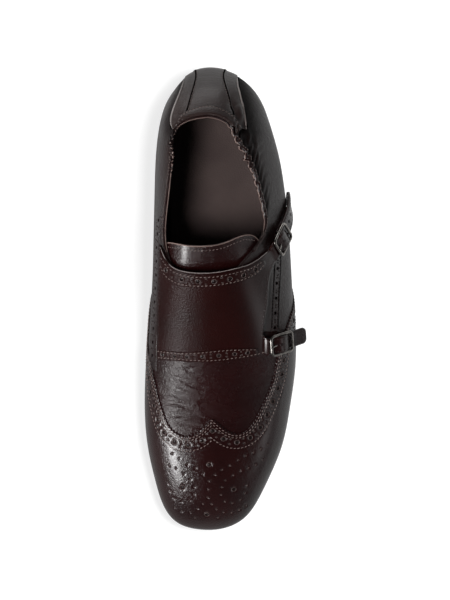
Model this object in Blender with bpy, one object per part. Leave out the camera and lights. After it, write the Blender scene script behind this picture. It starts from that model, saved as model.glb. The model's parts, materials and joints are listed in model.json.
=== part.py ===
"""A left shoe: a brogue whose instep flap closes with two straps and buckles.

All sizes below are millimetres. A place on the shoe is given by its station, the distance
forward from the back of the heel, by x, the distance from the long axis (inner side negative,
outer side positive), and by z, the height above the floor. The shoe stands along Y with its
toe at -Y.
"""
import math

import bmesh
import bpy
import numpy as np

MM = 0.001
LENGTH = 300.0          # heel to toe, over the upper
X_MID = 10.449          # long axis to the middle of the whole shoe, straps included
GAP = 0.3               # clearance between pieces that touch on the real shoe

WALL = 2.0              # upper leather with its lining
LASTING_MARGIN = 8.0    # upper leather turned in under the insole
OUTSOLE = 4.5
OUTSOLE_EDGE = 1.0      # how far the sole's edge stands out past the upper's seam
TOP_LIFT = 5.0
HEEL_HEIGHT = 15.0      # heel block and top lift together
HEEL_BREAST = 66.0      # station of the heel's front face
TREAD_BACK, TREAD_FRONT = 176.0, 204.0   # stations between which the sole lies on the floor
TOE_SPRING = 7.5
INSOLE = 2.2
INSOLE_CLEARANCE = 1.2  # between the insole's edge and the upper's inner skin
TONGUE = 1.6
TONGUE_DROP = 0.6       # the tongue's outer face under the upper's inner one
FLAP = 1.8              # the flap and its straps
FLAP_LIFT = 0.5         # the flap's underside above the upper
STRAP_WIDTH = 10.4
BAR = 1.6               # thickness of a buckle's wire
PRONG = 1.0
TAB = 0.7
FRAME_LENGTH, FRAME_WIDTH, FRAME_CORNER = 19.4, 14.3, 2.4
# Heights above the outer wall at a buckle's middle.
FRAME_Z = 4.7           # middle of the frame's wire
CENTRE_BAR_Z = 2.5      # middle of the centre bar
STRAP_UNDER_FRAME = 1.7  # underside of the strap below the frame's end bars
STRAP_OVER_BAR = 4.9    # underside of the strap over the centre bar
STRAP_TIP_Z = 1.5       # underside of the strap's tip

# The last, one row for each section: how far it reaches to the inner and outer side, the height
# of its widest line, the height of its ridge, and how full each side is at its wall and crown.
LAST_COLUMNS = ("station", "inner", "outer", "widest", "ridge",
                "inner_wall", "outer_wall", "inner_crown", "outer_crown")
LAST = (
    (0.0,   0.0,  0.0, 38.0, 38.0, 0.60, 0.50, 0.55, 0.55),
    (5.0,  15.6, 18.2, 38.2, 49.0, 0.62, 0.48, 0.55, 0.55),
    (12.0, 22.2, 26.8, 38.6, 58.5, 0.66, 0.45, 0.55, 0.52),
    (22.0, 28.6, 33.6, 39.2, 67.5, 0.76, 0.38, 0.55, 0.48),
    (36.0, 32.9, 38.8, 40.0, 76.5, 0.86, 0.28, 0.55, 0.42),
    (56.0, 35.4, 44.4, 41.0, 84.5, 0.78, 0.20, 0.55, 0.36),
    (80.0, 36.3, 48.4, 41.0, 90.0, 0.66, 0.18, 0.55, 0.34),
    (112.0, 37.0, 51.6, 39.0, 92.5, 0.68, 0.20, 0.55, 0.36),
    (140.0, 37.8, 53.4, 35.0, 81.0, 0.70, 0.34, 0.55, 0.45),
    (165.0, 39.4, 55.0, 31.0, 70.0, 0.66, 0.46, 0.55, 0.52),
    (190.0, 40.8, 55.4, 27.0, 60.5, 0.60, 0.52, 0.56, 0.56),
    (219.0, 41.6, 52.0, 23.5, 52.5, 0.58, 0.56, 0.60, 0.60),
    (243.0, 40.0, 47.4, 21.5, 48.5, 0.58, 0.58, 0.64, 0.64),
    (266.0, 35.2, 38.4, 20.0, 44.0, 0.58, 0.58, 0.64, 0.64),
    (282.0, 30.4, 30.4, 19.5, 38.2, 0.56, 0.56, 0.60, 0.60),
    (292.0, 24.4, 22.8, 19.5, 32.0, 0.55, 0.55, 0.56, 0.56),
    (297.5, 16.2, 13.8, 19.5, 26.0, 0.55, 0.55, 0.55, 0.55),
    (300.0, 0.0,  0.0, 19.5, 19.5, 0.55, 0.55, 0.55, 0.55),
)
# The seam where upper and sole meet, drawn between its own two ends.
SEAM_BACK, SEAM_FRONT = 5.0, 296.5
SEAM_COLUMNS = ("station", "inner", "outer")
SEAM = (
    (5.0,   0.0,  0.0),
    (9.0,  14.0, 15.6),
    (17.0, 21.5, 24.6),
    (30.0, 27.5, 31.6),
    (48.0, 30.4, 35.6),
    (70.0, 30.4, 38.2),
    (100.0, 29.0, 40.4),
    (130.0, 30.6, 44.6),
    (160.0, 35.4, 49.6),
    (190.0, 37.8, 51.6),
    (219.0, 38.6, 48.6),
    (243.0, 37.0, 44.2),
    (266.0, 32.2, 35.2),
    (282.0, 26.6, 26.8),
    (290.0, 21.0, 20.4),
    (294.5, 13.2, 12.0),
    (296.5, 0.0,  0.0),
)
# The collar's edge on the plan, then the throat, which the flap hides: x and station.
COLLAR = (
    (-2.5, 32.5), (6.0, 34.6), (13.0, 40.0), (17.8, 48.5), (24.4, 61.0), (30.0, 77.0),
    (33.8, 92.0), (34.6, 103.0), (31.0, 112.5), (20.4, 125.5), (7.0, 140.0), (-6.0, 146.0),
    (-20.0, 138.0), (-28.6, 123.0), (-31.0, 107.0), (-29.8, 91.0), (-27.4, 70.0),
    (-25.9, 52.0), (-24.0, 41.0), (-14.0, 34.4),
)
# The flap's four edges on the plan: x and station.
FLAP_TOP = ((-31.6, 115.0), (-29.4, 121.0), (-24.5, 128.4), (-15.6, 131.7), (-6.6, 132.4),
            (3.5, 131.7), (13.7, 129.6), (22.8, 127.0), (29.6, 122.8), (35.2, 118.3))
FLAP_BOTTOM = ((-33.0, 188.0), (-22.0, 188.6), (-10.0, 189.3), (2.0, 189.2), (14.0, 187.8),
               (24.0, 186.2), (32.2, 184.4))
FLAP_INNER = ((-31.6, 115.0), (-32.6, 135.0), (-33.0, 160.0), (-33.0, 188.0))
FLAP_OUTER_ROOT_UPPER = ((35.2, 118.3), (39.4, 125.6))
FLAP_OUTER_HOLLOW = ((39.4, 125.6), (36.8, 131.5), (35.4, 140.0), (34.8, 151.0), (33.2, 163.0),
                     (32.4, 172.6))
FLAP_OUTER_ROOT_LOWER = ((32.4, 172.6), (32.2, 184.4))
# The tongue's top edge on the plan: x and station.
TONGUE_TOP = ((-33.0, 113.5), (-20.0, 114.6), (-5.0, 116.0), (5.0, 115.8), (12.0, 114.5),
              (19.0, 112.2), (26.5, 109.4), (34.0, 106.4))
# Each strap's buckle: its station, its share of the way up the outer wall, the direction of the
# strap there (down the wall and back along it), how far the strap reaches past the buckle's
# middle, the radius on which its end curls back to the wall, and how far it twists, in radians.
BUCKLES = {
    "upper": {"station": 111.2, "rise": 0.335, "down": 0.74, "back": 0.67, "past": 41.0,
              "curl": 47.0, "twist": 0.52},
    "lower": {"station": 177.4, "rise": 0.435, "down": 1.0, "back": 0.04, "past": 22.5,
              "curl": 160.0, "twist": 0.0},
}

COLOURS = {
    "leather": ((0.035, 0.012, 0.012), 0.35, 0.0),
    "lining": ((0.09, 0.065, 0.06), 0.6, 0.0),
    "sole": ((0.02, 0.012, 0.01), 0.55, 0.0),
    "rubber": ((0.012, 0.012, 0.012), 0.7, 0.0),
    "metal": ((0.30, 0.28, 0.27), 0.25, 1.0),
}


# ---------------------------------------------------------------- curves through short tables

def cubic_through(places, values):
    """A smooth curve through rows; returns a function of place."""
    places = np.asarray(places, float)
    values = np.asarray(values, float)
    count = len(places)
    steps = np.diff(places)
    system = np.eye(count)
    target = np.zeros((count,) + values.shape[1:])
    for k in range(1, count - 1):
        system[k, k - 1:k + 2] = steps[k - 1], 2 * (steps[k - 1] + steps[k]), steps[k]
        target[k] = 6 * ((values[k + 1] - values[k]) / steps[k]
                         - (values[k] - values[k - 1]) / steps[k - 1])
    bend = np.linalg.solve(system, target)

    def at(place):
        place = np.asarray(place, float)
        k = np.clip(np.searchsorted(places, place) - 1, 0, count - 2)
        step = steps[k]
        before = (places[k + 1] - place) / step
        after = 1 - before
        if values.ndim > 1:
            step, before, after = step[..., None], before[..., None], after[..., None]
        return (before * values[k] + after * values[k + 1]
                + ((before ** 3 - before) * bend[k] + (after ** 3 - after) * bend[k + 1])
                * step ** 2 / 6)
    return at


def cubic_along(points):
    """A smooth curve through points; returns a function of the share of the way along."""
    points = np.asarray(points, float)
    way = np.concatenate(([0.0], np.cumsum(np.linalg.norm(np.diff(points, axis=0), axis=1))))
    return cubic_through(way / way[-1], points)


def station_to_turn(station, back=0.0, front=LENGTH):
    """A station as an angle, 0 at the back and pi at the front, so that round ends stay round."""
    share = np.clip((np.asarray(station, float) - back) / (front - back), 0, 1)
    return np.arccos(1 - 2 * share)


def turn_to_station(turn, back=0.0, front=LENGTH):
    return back + (front - back) * (1 - np.cos(turn)) / 2


def read_table(columns, rows, back, front):
    turns = station_to_turn([row[0] for row in rows], back, front)
    return {name: cubic_through(turns, [row[k] for row in rows])
            for k, name in enumerate(columns) if k > 0}


last = read_table(LAST_COLUMNS, LAST, 0.0, LENGTH)
seam = read_table(SEAM_COLUMNS, SEAM, SEAM_BACK, SEAM_FRONT)


# ---------------------------------------------------------------- the last

def side_value(table, name, turn, side):
    """The inner or outer column of a table, by the sign of side."""
    inner = "inner" + name
    outer = "outer" + name
    return np.where(side < 0, table[inner](turn), table[outer](turn))


def crown_point(station, side, rise):
    """The last above its widest line: rise 0 on that line, 1 on the ridge."""
    turn = station_to_turn(station)
    width = side_value(last, "", turn, side)
    wall = side_value(last, "_wall", turn, side)
    crown = side_value(last, "_crown", turn, side)
    widest = last["widest"](turn)
    ridge = last["ridge"](turn)
    fall = 1 - rise
    inward = 3 * fall * rise ** 2 * (1 - crown) + rise ** 3
    upward = 3 * fall ** 2 * rise * wall + 3 * fall * rise ** 2 + rise ** 3
    x = np.where(side < 0, -1, 1) * width * (1 - inward)
    return np.stack([x, station + 0 * x, widest + (ridge - widest) * upward], axis=-1)


def rise_at(station, x):
    """How far up the section the point over a place on the plan lies."""
    turn = station_to_turn(station)
    width = side_value(last, "", turn, x)
    crown = side_value(last, "_crown", turn, x)
    wanted = np.clip(1 - np.abs(x) / np.maximum(width, 1e-6), 0, 1)
    low = np.zeros_like(wanted)
    high = np.ones_like(wanted)
    for _ in range(30):
        middle = (low + high) / 2
        inward = 3 * (1 - middle) * middle ** 2 * (1 - crown) + middle ** 3
        low = np.where(inward < wanted, middle, low)
        high = np.where(inward < wanted, high, middle)
    return (low + high) / 2


def crown_normal(station, side, rise):
    """Outward normal of the last above its widest line, away from the heel's and toe's ends."""
    step = 0.02
    rise = np.clip(rise, step, 1 - step / 2)
    along = crown_point(station + 0.2, side, rise) - crown_point(station - 0.2, side, rise)
    up = (crown_point(station, side, np.minimum(rise + step, 1.0))
          - crown_point(station, side, rise - step))
    normal = np.cross(along, up) * np.where(side < 0, -1, 1)[..., None]
    return normal / np.linalg.norm(normal, axis=-1, keepdims=True)


def over_plan(x, station, lift=0.0):
    """The point of the last over a place on the plan, lifted along its normal."""
    x = np.asarray(x, float)
    station = np.asarray(station, float)
    rise = rise_at(station, x)
    return crown_point(station, x, rise) + crown_normal(station, x, rise) * lift


# ---------------------------------------------------------------- the sole's profile

def sole_underside(station):
    """Height of the outsole's underside: seat on the heel, arch, tread and toe spring."""
    arch = np.clip((station - HEEL_BREAST) / (TREAD_BACK - HEEL_BREAST), 0, 1)
    arch_height = HEEL_HEIGHT * (1 - arch ** 2 * (3 - 2 * arch))
    spring = np.clip((station - TREAD_FRONT) / (LENGTH - TREAD_FRONT), 0, 1)
    return arch_height + TOE_SPRING * spring ** 1.8


def both_sides(count):
    """Turns and sides once round the shoe: heel to toe on the inner side, and back."""
    half = np.linspace(0, math.pi, count // 2 + 1)
    turns = np.concatenate([half, half[-2:0:-1]])
    sides = np.concatenate([-np.ones(len(half)), np.ones(len(half) - 2)])
    return turns, sides


def outline(count, inset=0.0):
    """The seam between upper and sole, once round on the plan, moved inwards by inset."""
    turns, sides = both_sides(count)
    width = side_value(seam, "", turns, sides)
    plan = np.stack([sides * width, turn_to_station(turns, SEAM_BACK, SEAM_FRONT)], axis=-1)
    way = np.roll(plan, -1, axis=0) - np.roll(plan, 1, axis=0)
    way /= np.linalg.norm(way, axis=-1, keepdims=True)
    return plan + np.stack([way[:, 1], -way[:, 0]], axis=-1) * inset


# ---------------------------------------------------------------- meshes

def to_world(points):
    points = np.asarray(points, float)
    return np.stack([(points[..., 0] - X_MID) * MM, (LENGTH / 2 - points[..., 1]) * MM,
                     points[..., 2] * MM], axis=-1)


def material(name):
    found = bpy.data.materials.get(name)
    if found:
        return found
    made = bpy.data.materials.new(name)
    made.use_nodes = True
    colour, roughness, metallic = COLOURS[name]
    shader = made.node_tree.nodes["Principled BSDF"]
    shader.inputs["Base Color"].default_value = (*colour, 1.0)
    shader.inputs["Roughness"].default_value = roughness
    shader.inputs["Metallic"].default_value = metallic
    made.diffuse_color = (*colour, 1.0)
    return made


def make_object(name, points, faces, finish):
    """A closed mesh object from points in the shoe's own millimetres."""
    mesh = bpy.data.meshes.new(name)
    mesh.from_pydata([tuple(point) for point in to_world(points)], [], faces)
    work = bmesh.new()
    work.from_mesh(mesh)
    bmesh.ops.remove_doubles(work, verts=work.verts, dist=0.00001)
    bmesh.ops.triangulate(work, faces=work.faces)
    bmesh.ops.recalc_face_normals(work, faces=work.faces)
    if work.calc_volume(signed=True) < 0:
        bmesh.ops.reverse_faces(work, faces=work.faces)
    work.to_mesh(mesh)
    work.free()
    mesh.shade_smooth()
    mesh.set_sharp_from_angle(angle=math.radians(35))
    mesh.materials.append(material(finish))
    made = bpy.data.objects.new(name, mesh)
    bpy.context.collection.objects.link(made)
    return made


def sheet_solid(name, outer, inner, faces, finish):
    """A sheet with thickness: two matching sets of points, and the sheet's own faces."""
    count = len(outer)
    edges = {}
    for face in faces:
        for k, start in enumerate(face):
            end = face[(k + 1) % len(face)]
            if start != end:
                edges[(start, end)] = edges.get((start, end), 0) + 1
    rim = [edge for edge in edges if (edge[1], edge[0]) not in edges]
    solid = list(faces)
    solid += [tuple(count + k for k in reversed(face)) for face in faces]
    solid += [(end, start, count + start, count + end) for start, end in rim]
    return make_object(name, np.concatenate([outer, inner]), solid, finish)


def grid_faces(rows, columns, closed=False, start=0):
    faces = []
    for i in range(rows if closed else rows - 1):
        for j in range(columns - 1):
            a = start + i * columns + j
            b = start + ((i + 1) % rows) * columns + j
            faces.append((a, b, b + 1, a + 1))
    return faces


# ---------------------------------------------------------------- the upper

SECTIONS = 88           # sections round the whole upper
WALL_ROWS = 5           # rows from the seam to the widest line
CROWN_ROWS = 10         # rows from the widest line to the collar or the ridge
COLLAR_SHARE = 0.52     # share of the sections that end on the collar and throat
TOE_RIDGE_END = 268.0   # where the toe's sections meet on the ridge
RIDGE_PACE = 1.35       # how fast the sections' ends run forward along the ridge to that place
WALL_OUT = 0.45         # the wall's curve above the sole: how soon it goes out,
WALL_FOOT, WALL_TOP = 0.25, 0.62   # and how it rises at its foot and near the widest line


def collar_path(side):
    """One side of the collar's edge, from the middle of the heel to the bottom of the throat."""
    ring = cubic_along(np.asarray(COLLAR + COLLAR[:1]))(np.linspace(0, 1, 721))[:-1]
    heel = int(np.argmin(ring[:, 1]))
    throat = int(np.argmax(ring[:, 1]))
    if side > 0:
        picks = np.arange(heel, throat + 1)
    else:
        picks = np.arange(heel + len(ring), throat - 1, -1) % len(ring)
    return cubic_along(ring[picks])


def section_ends(turns, sides):
    """Where each section ends on the plan: on the collar, or on the ridge in front of it."""
    share = turns / math.pi
    ends = np.zeros((len(turns), 2))
    for side in (-1.0, 1.0):
        path = collar_path(side)
        along = path(np.clip(share / COLLAR_SHARE, 0, 1))
        throat = path(np.asarray(1.0))
        front = np.clip((share - COLLAR_SHARE) / (1 - COLLAR_SHARE) * RIDGE_PACE, 0, 1)
        ridge = np.stack([throat[0] * (1 - front), throat[1] + (TOE_RIDGE_END - throat[1]) * front],
                         axis=-1)
        here = np.where((share <= COLLAR_SHARE)[:, None], along, ridge)
        ends[sides == side] = here[sides == side]
    return ends


def wall_row(foot, widest, rise):
    """A row of points between the seam and the widest line, bulging out above the sole."""
    fall = 1 - rise
    out = 3 * fall ** 2 * rise * WALL_OUT + 3 * fall * rise ** 2 + rise ** 3
    up = 3 * fall ** 2 * rise * WALL_FOOT + 3 * fall * rise ** 2 * WALL_TOP + rise ** 3
    return foot + (widest - foot) * np.array([out, out, up])


def make_upper():
    turns, sides = both_sides(SECTIONS)
    stations = turn_to_station(turns)
    seam_plan = outline(SECTIONS)
    margin_plan = outline(SECTIONS, LASTING_MARGIN)
    seat = sole_underside(seam_plan[:, 1]) + OUTSOLE + GAP
    margin_seat = sole_underside(margin_plan[:, 1]) + OUTSOLE + GAP
    foot = np.column_stack([seam_plan, seat])
    widest = crown_point(stations, sides, 0 * turns)
    ends = section_ends(turns, sides)
    rows = [np.column_stack([margin_plan, margin_seat]), foot]
    rows += [wall_row(foot, widest, k / WALL_ROWS) for k in range(1, WALL_ROWS + 1)]
    for k in range(1, CROWN_ROWS + 1):
        share = 1 - math.cos(math.pi / 2 * k / CROWN_ROWS)
        plan = widest[:, :2] + (ends - widest[:, :2]) * share
        x = np.where(np.abs(plan[:, 0]) < 1e-4, 1e-4 * sides, plan[:, 0])
        rows.append(crown_point(plan[:, 1], x, rise_at(plan[:, 1], x)))
    outer = np.stack(rows, axis=1)
    count, columns = outer.shape[:2]
    faces = grid_faces(count, columns, closed=True)
    index = weld(outer.reshape(-1, 3))
    faces = tidy_faces(faces, index)
    outer = outer.reshape(-1, 3)[np.unique(index)]
    renumber = {old: new for new, old in enumerate(np.unique(index))}
    faces = [tuple(renumber[k] for k in face) for face in faces]
    inner = outer - vertex_normals(outer, faces) * WALL
    # The turned-in margin lies flat on the sole, so its upper face is level with its lower one.
    corner_plan = outline(SECTIONS, WALL)
    corner_z = sole_underside(corner_plan[:, 1]) + OUTSOLE + GAP + WALL
    for k in range(count):
        if k * columns in renumber:
            inner[renumber[k * columns]] = (*margin_plan[k], margin_seat[k] + WALL)
        if k * columns + 1 in renumber:
            inner[renumber[k * columns + 1]] = (*corner_plan[k], corner_z[k])
    return sheet_solid("upper", outer, inner, faces, "leather")


def weld(points, reach=0.02):
    """For each point, the first point that lies on the same spot."""
    spots = {}
    index = []
    for k, point in enumerate(points):
        spot = tuple(np.round(point / reach).astype(int))
        index.append(spots.setdefault(spot, k))
    return np.array(index)


def tidy_faces(faces, index):
    """Faces with welded corners, without those that shrink to a line."""
    clean = []
    for face in faces:
        ring = []
        for k in face:
            if index[k] not in ring:
                ring.append(int(index[k]))
        if len(ring) >= 3:
            clean.append(tuple(ring))
    return clean


def vertex_normals(points, faces):
    """Outward normals of a sheet whose faces are wound the same way all over."""
    normals = np.zeros_like(points)
    for face in faces:
        corners = points[list(face)]
        face_normal = np.cross(corners[2] - corners[0], corners[-1] - corners[1])
        size = np.linalg.norm(face_normal)
        if size > 0:
            normals[list(face)] += face_normal / math.sqrt(size)
    normals /= np.linalg.norm(normals, axis=1, keepdims=True)
    middle = points.mean(axis=0)
    if ((points - middle) * normals).sum() < 0:
        normals = -normals
    return normals


# ---------------------------------------------------------------- sole, heel and insole

OUTLINE_POINTS = 80
SLAB_END = 26.0         # how far a slab's middle line stops short of each end
HEEL_INSET = 0.6        # heel block inside the seam's outline
LIFT_INSET = 1.4        # top lift inside the seam's outline
BREAST_HOLLOW = 3.0     # how far the heel's front face is hollowed


def slab(name, plan, bottom, top, finish, rings=(1.0, 0.72, 0.4)):
    """A closed slab over an outline: bottom and top give heights by station."""
    plan = np.asarray(plan, float)
    count = len(plan)
    spine = np.stack([0 * plan[:, 0] + plan[:, 0].mean(), plan[:, 1]], axis=-1)
    spine[:, 1] = np.clip(plan[:, 1], plan[:, 1].min() + SLAB_END, plan[:, 1].max() - SLAB_END)
    sheets = []
    for heights in (bottom, top):
        rows = []
        for ring in rings:
            place = spine + (plan - spine) * ring
            rows.append(np.column_stack([place, heights(place[:, 1])]))
        rows.append(np.column_stack([spine, heights(spine[:, 1])]))
        sheets.append(np.stack(rows, axis=1))
    columns = len(rings) + 1
    faces = grid_faces(count, columns, closed=True)
    index = weld(sheets[0].reshape(-1, 3))
    # The middle row folds onto itself along the spine: each point meets its opposite number.
    for k in range(count):
        opposite = (count - k) % count
        index[k * columns + columns - 1] = index[min(k, opposite) * columns + columns - 1]
    index = index[index]
    faces = tidy_faces(faces, index)
    used = np.unique([k for face in faces for k in face])
    renumber = {old: new for new, old in enumerate(used)}
    faces = [tuple(renumber[k] for k in face) for face in faces]
    low, high = (sheet.reshape(-1, 3)[used] for sheet in sheets)
    return sheet_solid(name, low, high, faces, finish)


def make_sole():
    slab("outsole", outline(OUTLINE_POINTS, -OUTSOLE_EDGE), sole_underside,
         lambda station: sole_underside(station) + OUTSOLE, "sole")


def make_insole():
    lift = OUTSOLE + GAP + WALL + GAP
    slab("insole", outline(OUTLINE_POINTS, WALL + INSOLE_CLEARANCE),
         lambda station: sole_underside(station) + lift,
         lambda station: sole_underside(station) + lift + INSOLE, "lining")


def heel_outline(inset):
    """The sole's outline behind the breast, whose front face is slightly hollow."""
    breast_turn = float(station_to_turn(HEEL_BREAST, SEAM_BACK, SEAM_FRONT))
    half = np.linspace(0, breast_turn, 15)
    points = []
    for side in (-1.0, 1.0):
        width = side_value(seam, "", half, side) - inset
        station = turn_to_station(half, SEAM_BACK, SEAM_FRONT) + inset * (1 - half / breast_turn)
        points.append(np.stack([side * np.maximum(width, 0), station], axis=-1))
    inner, outer = points
    across = np.linspace(inner[-1, 0], outer[-1, 0], 13)[1:-1]
    hollow = BREAST_HOLLOW * (1 - ((across - across.mean()) / (np.ptp(across) / 2 + 5)) ** 2)
    breast = np.stack([across, inner[-1, 1] - hollow], axis=-1)
    return np.concatenate([inner, breast, outer[:0:-1]])


def prism(name, plan, bottom, top, finish, taper=0.0):
    """A straight-sided block over an outline, its foot drawn in by taper."""
    count = len(plan)
    middle = plan.mean(axis=0)
    low = middle + (plan - middle) * (1 - taper)
    points = np.concatenate([np.column_stack([low, np.full(count, bottom)]),
                             np.column_stack([plan, np.full(count, top)])])
    faces = [tuple(range(count)), tuple(range(2 * count - 1, count - 1, -1))]
    faces += [(k, (k + 1) % count, count + (k + 1) % count, count + k) for k in range(count)]
    return make_object(name, points, faces, finish)


def make_heel():
    prism("heel_block", heel_outline(HEEL_INSET), TOP_LIFT + GAP, HEEL_HEIGHT - GAP, "sole",
          taper=0.02)
    prism("heel_top_lift", heel_outline(LIFT_INSET), 0.0, TOP_LIFT, "rubber", taper=0.01)


# ---------------------------------------------------------------- tongue

TONGUE_ROWS, TONGUE_COLUMNS = 9, 13
TONGUE_FOOT = 172.0     # station of its lower end, under the vamp


def make_tongue():
    """The tongue lies under the quarters, from its top edge down past the throat's bottom."""
    top_edge = cubic_along(TONGUE_TOP)(np.linspace(0, 1, TONGUE_COLUMNS))
    foot = np.column_stack([np.linspace(-29.0, 33.0, TONGUE_COLUMNS),
                            np.full(TONGUE_COLUMNS, TONGUE_FOOT)])
    down = np.linspace(0, 1, TONGUE_ROWS)[:, None, None]
    plan = (top_edge + (foot - top_edge) * down).reshape(-1, 2)
    outer = over_plan(plan[:, 0], plan[:, 1], -(WALL + TONGUE_DROP))
    inner = over_plan(plan[:, 0], plan[:, 1], -(WALL + TONGUE_DROP + TONGUE))
    return sheet_solid("tongue", outer, inner, grid_faces(TONGUE_ROWS, TONGUE_COLUMNS), "leather")


# ---------------------------------------------------------------- flap and straps

FLAP_COLUMNS = 14
ROOT_ROWS = 5           # rows of the flap that run on into each strap
HOLLOW_ROWS = 9         # rows of the hollow edge between the straps
TIP_CORNER = 3.0        # rounding of a strap's end
SETTLE = 6.0            # length over which a strap comes down past the buckle
EASE = (0.4, 0.75)      # shares of the way at which the flap's edge eases into a strap
PRONG_SLOT = ((-6.6, 0.0), (-0.9, 0.9), (0.0, 8.0))   # along and across the strap, and out
TAB_SLOT = ((-4.0, 2.8), (-0.8, 0.8), (-1.0, 8.0))


def flap_plan():
    """The flap's grid on the plan, between its four edges."""
    outer_edge = np.concatenate([
        cubic_along(FLAP_OUTER_ROOT_UPPER)(np.linspace(0, 1, ROOT_ROWS))[:-1],
        cubic_along(FLAP_OUTER_HOLLOW)(np.linspace(0, 1, HOLLOW_ROWS)),
        cubic_along(FLAP_OUTER_ROOT_LOWER)(np.linspace(0, 1, ROOT_ROWS))[1:]])
    rows = len(outer_edge)
    down = np.linspace(0, 1, rows)[:, None, None]
    across = np.linspace(0, 1, FLAP_COLUMNS)[None, :, None]
    inner_edge = cubic_along(FLAP_INNER)(down[:, 0, 0])[:, None, :]
    outer_edge = outer_edge[:, None, :]
    top = cubic_along(FLAP_TOP)(across[0, :, 0])[None]
    bottom = cubic_along(FLAP_BOTTOM)(across[0, :, 0])[None]
    corners = ((1 - down) * (1 - across) * inner_edge[:1] + (1 - down) * across * outer_edge[:1]
               + down * (1 - across) * inner_edge[-1:] + down * across * outer_edge[-1:])
    return (inner_edge * (1 - across) + outer_edge * across
            + top * (1 - down) + bottom * down - corners)


def buckle_frame(which):
    """A buckle's own axes on the outer wall: middle, along the strap, across it, and out."""
    place = BUCKLES[which]
    station, rise, side = (np.asarray(value) for value in (place["station"], place["rise"], 1.0))
    middle = crown_point(station, side, rise)
    out = crown_normal(station, side, rise)
    back = crown_point(station - 1.0, side, rise) - middle
    down = crown_point(station, side, rise - 0.02) - middle
    back -= out * (back @ out)
    back /= np.linalg.norm(back)
    down -= out * (down @ out) + back * (down @ back)
    down /= np.linalg.norm(down)
    along = back * place["back"] + down * place["down"]
    along /= np.linalg.norm(along)
    across = np.cross(out, along)
    if across[1] < 0:
        across = -across
    return middle, along, across, out


def strap_height(way):
    """The strap's underside above the wall: down under each end bar, up over the centre bar."""
    end_bar = (FRAME_LENGTH - BAR) / 2
    hump = max(0.0, math.cos(math.pi / 2 * min(1.0, abs(way) / end_bar))) ** 1.7
    settle = min(1.0, max(0.0, (way - end_bar) / SETTLE))
    low = STRAP_UNDER_FRAME + (STRAP_TIP_Z - STRAP_UNDER_FRAME) * settle
    return low + (STRAP_OVER_BAR - STRAP_UNDER_FRAME) * hump


def strap_line(way, curl):
    """How far along and out the strap's base line is: straight, then curling to the wall."""
    straight = FRAME_LENGTH / 2
    if way <= straight:
        return way, 0.0, 0.0
    turn = (way - straight) / curl
    return straight + curl * math.sin(turn), -curl * (1 - math.cos(turn)), turn


def strap_sections(which):
    """Rows of points across a strap, from the buckle's entry to the tip: underside and top."""
    middle, along, across, out = buckle_frame(which)
    past, curl, twist = (BUCKLES[which][name] for name in ("past", "curl", "twist"))
    ways = np.concatenate([np.linspace(-FRAME_LENGTH / 2 - 0.6, FRAME_LENGTH / 2, 17),
                           np.linspace(FRAME_LENGTH / 2, past - TIP_CORNER, 7)[1:],
                           past - TIP_CORNER * (1 - np.sin(np.linspace(0, math.pi / 2, 5)[1:]))])
    under, top = [], []
    for way in ways:
        rounding = max(0.0, (way - (past - TIP_CORNER)) / TIP_CORNER)
        half = STRAP_WIDTH / 2 - TIP_CORNER * (1 - math.sqrt(max(0.0, 1 - rounding ** 2)))
        a, fall, turn = strap_line(way, curl)
        here = along * math.cos(turn) - out * math.sin(turn)
        away = out * math.cos(turn) + along * math.sin(turn)
        free = max(0.0, way - FRAME_LENGTH / 2) / (past - FRAME_LENGTH / 2)
        roll = twist * free ** 1.3
        beside = across * math.cos(roll) - away * math.sin(roll)
        away = away * math.cos(roll) + across * math.sin(roll)
        slope = (strap_height(way + 0.05) - strap_height(way - 0.05)) / 0.1
        lift = (away - here * slope) / math.hypot(1, slope)
        centre = middle + along * a + out * fall + away * strap_height(way)
        spread = beside * np.linspace(-half, half, ROOT_ROWS)[:, None]
        under.append(centre + spread)
        top.append(centre + spread + lift * FLAP)
    return np.array(under), np.array(top)


def make_strap_panel():
    """The flap over the instep and its two straps, cut in one piece."""
    plan = flap_plan()
    rows, columns = plan.shape[:2]
    flat = plan.reshape(-1, 2)
    top = [over_plan(flat[:, 0], flat[:, 1], FLAP_LIFT + FLAP)]
    under = [over_plan(flat[:, 0], flat[:, 1], FLAP_LIFT)]
    faces = grid_faces(rows, columns)
    roots = {"upper": [row * columns + columns - 1 for row in range(ROOT_ROWS)],
             "lower": [row * columns + columns - 1 for row in range(rows - ROOT_ROWS, rows)]}
    count = rows * columns
    for which, root in roots.items():
        strap_under, strap_top = strap_sections(which)
        # Two rows ease the flap's edge into the strap's first section.
        ease = []
        for share in EASE:
            ease.append([(sheet[0][root] * (1 - share) + strap[0] * share)
                         for sheet, strap in ((under, strap_under), (top, strap_top))])
        strap_under = np.concatenate([[pair[0] for pair in ease], strap_under])
        strap_top = np.concatenate([[pair[1] for pair in ease], strap_top])
        under.append(strap_under.reshape(-1, 3))
        top.append(strap_top.reshape(-1, 3))
        before = root
        for k in range(len(strap_under)):
            here = list(range(count, count + ROOT_ROWS))
            faces += [(before[j], before[j + 1], here[j + 1], here[j])
                      for j in range(ROOT_ROWS - 1)]
            before = here
            count += ROOT_ROWS
    panel = sheet_solid("strap_panel", np.concatenate(top), np.concatenate(under), faces,
                        "leather")
    for which in BUCKLES:
        cut(panel, "DIFFERENCE", block(f"prong_slot_{which}", which, *PRONG_SLOT))
    return panel


# ---------------------------------------------------------------- buckles

def cut(target, operation, tool):
    """Cut a hidden tool from a piece, or join it on."""
    tool.hide_render = True
    tool.display_type = "WIRE"
    modifier = target.modifiers.new(tool.name, "BOOLEAN")
    modifier.operation = operation
    modifier.solver = "EXACT"
    modifier.object = tool


def place_at_buckle(which, points):
    """Points given along a strap, across it and out from the wall, put in the shoe's own frame."""
    middle, along, across, out = buckle_frame(which)
    points = np.asarray(points, float)
    return (middle + points[:, :1] * along + points[:, 1:2] * across + points[:, 2:] * out)


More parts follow.
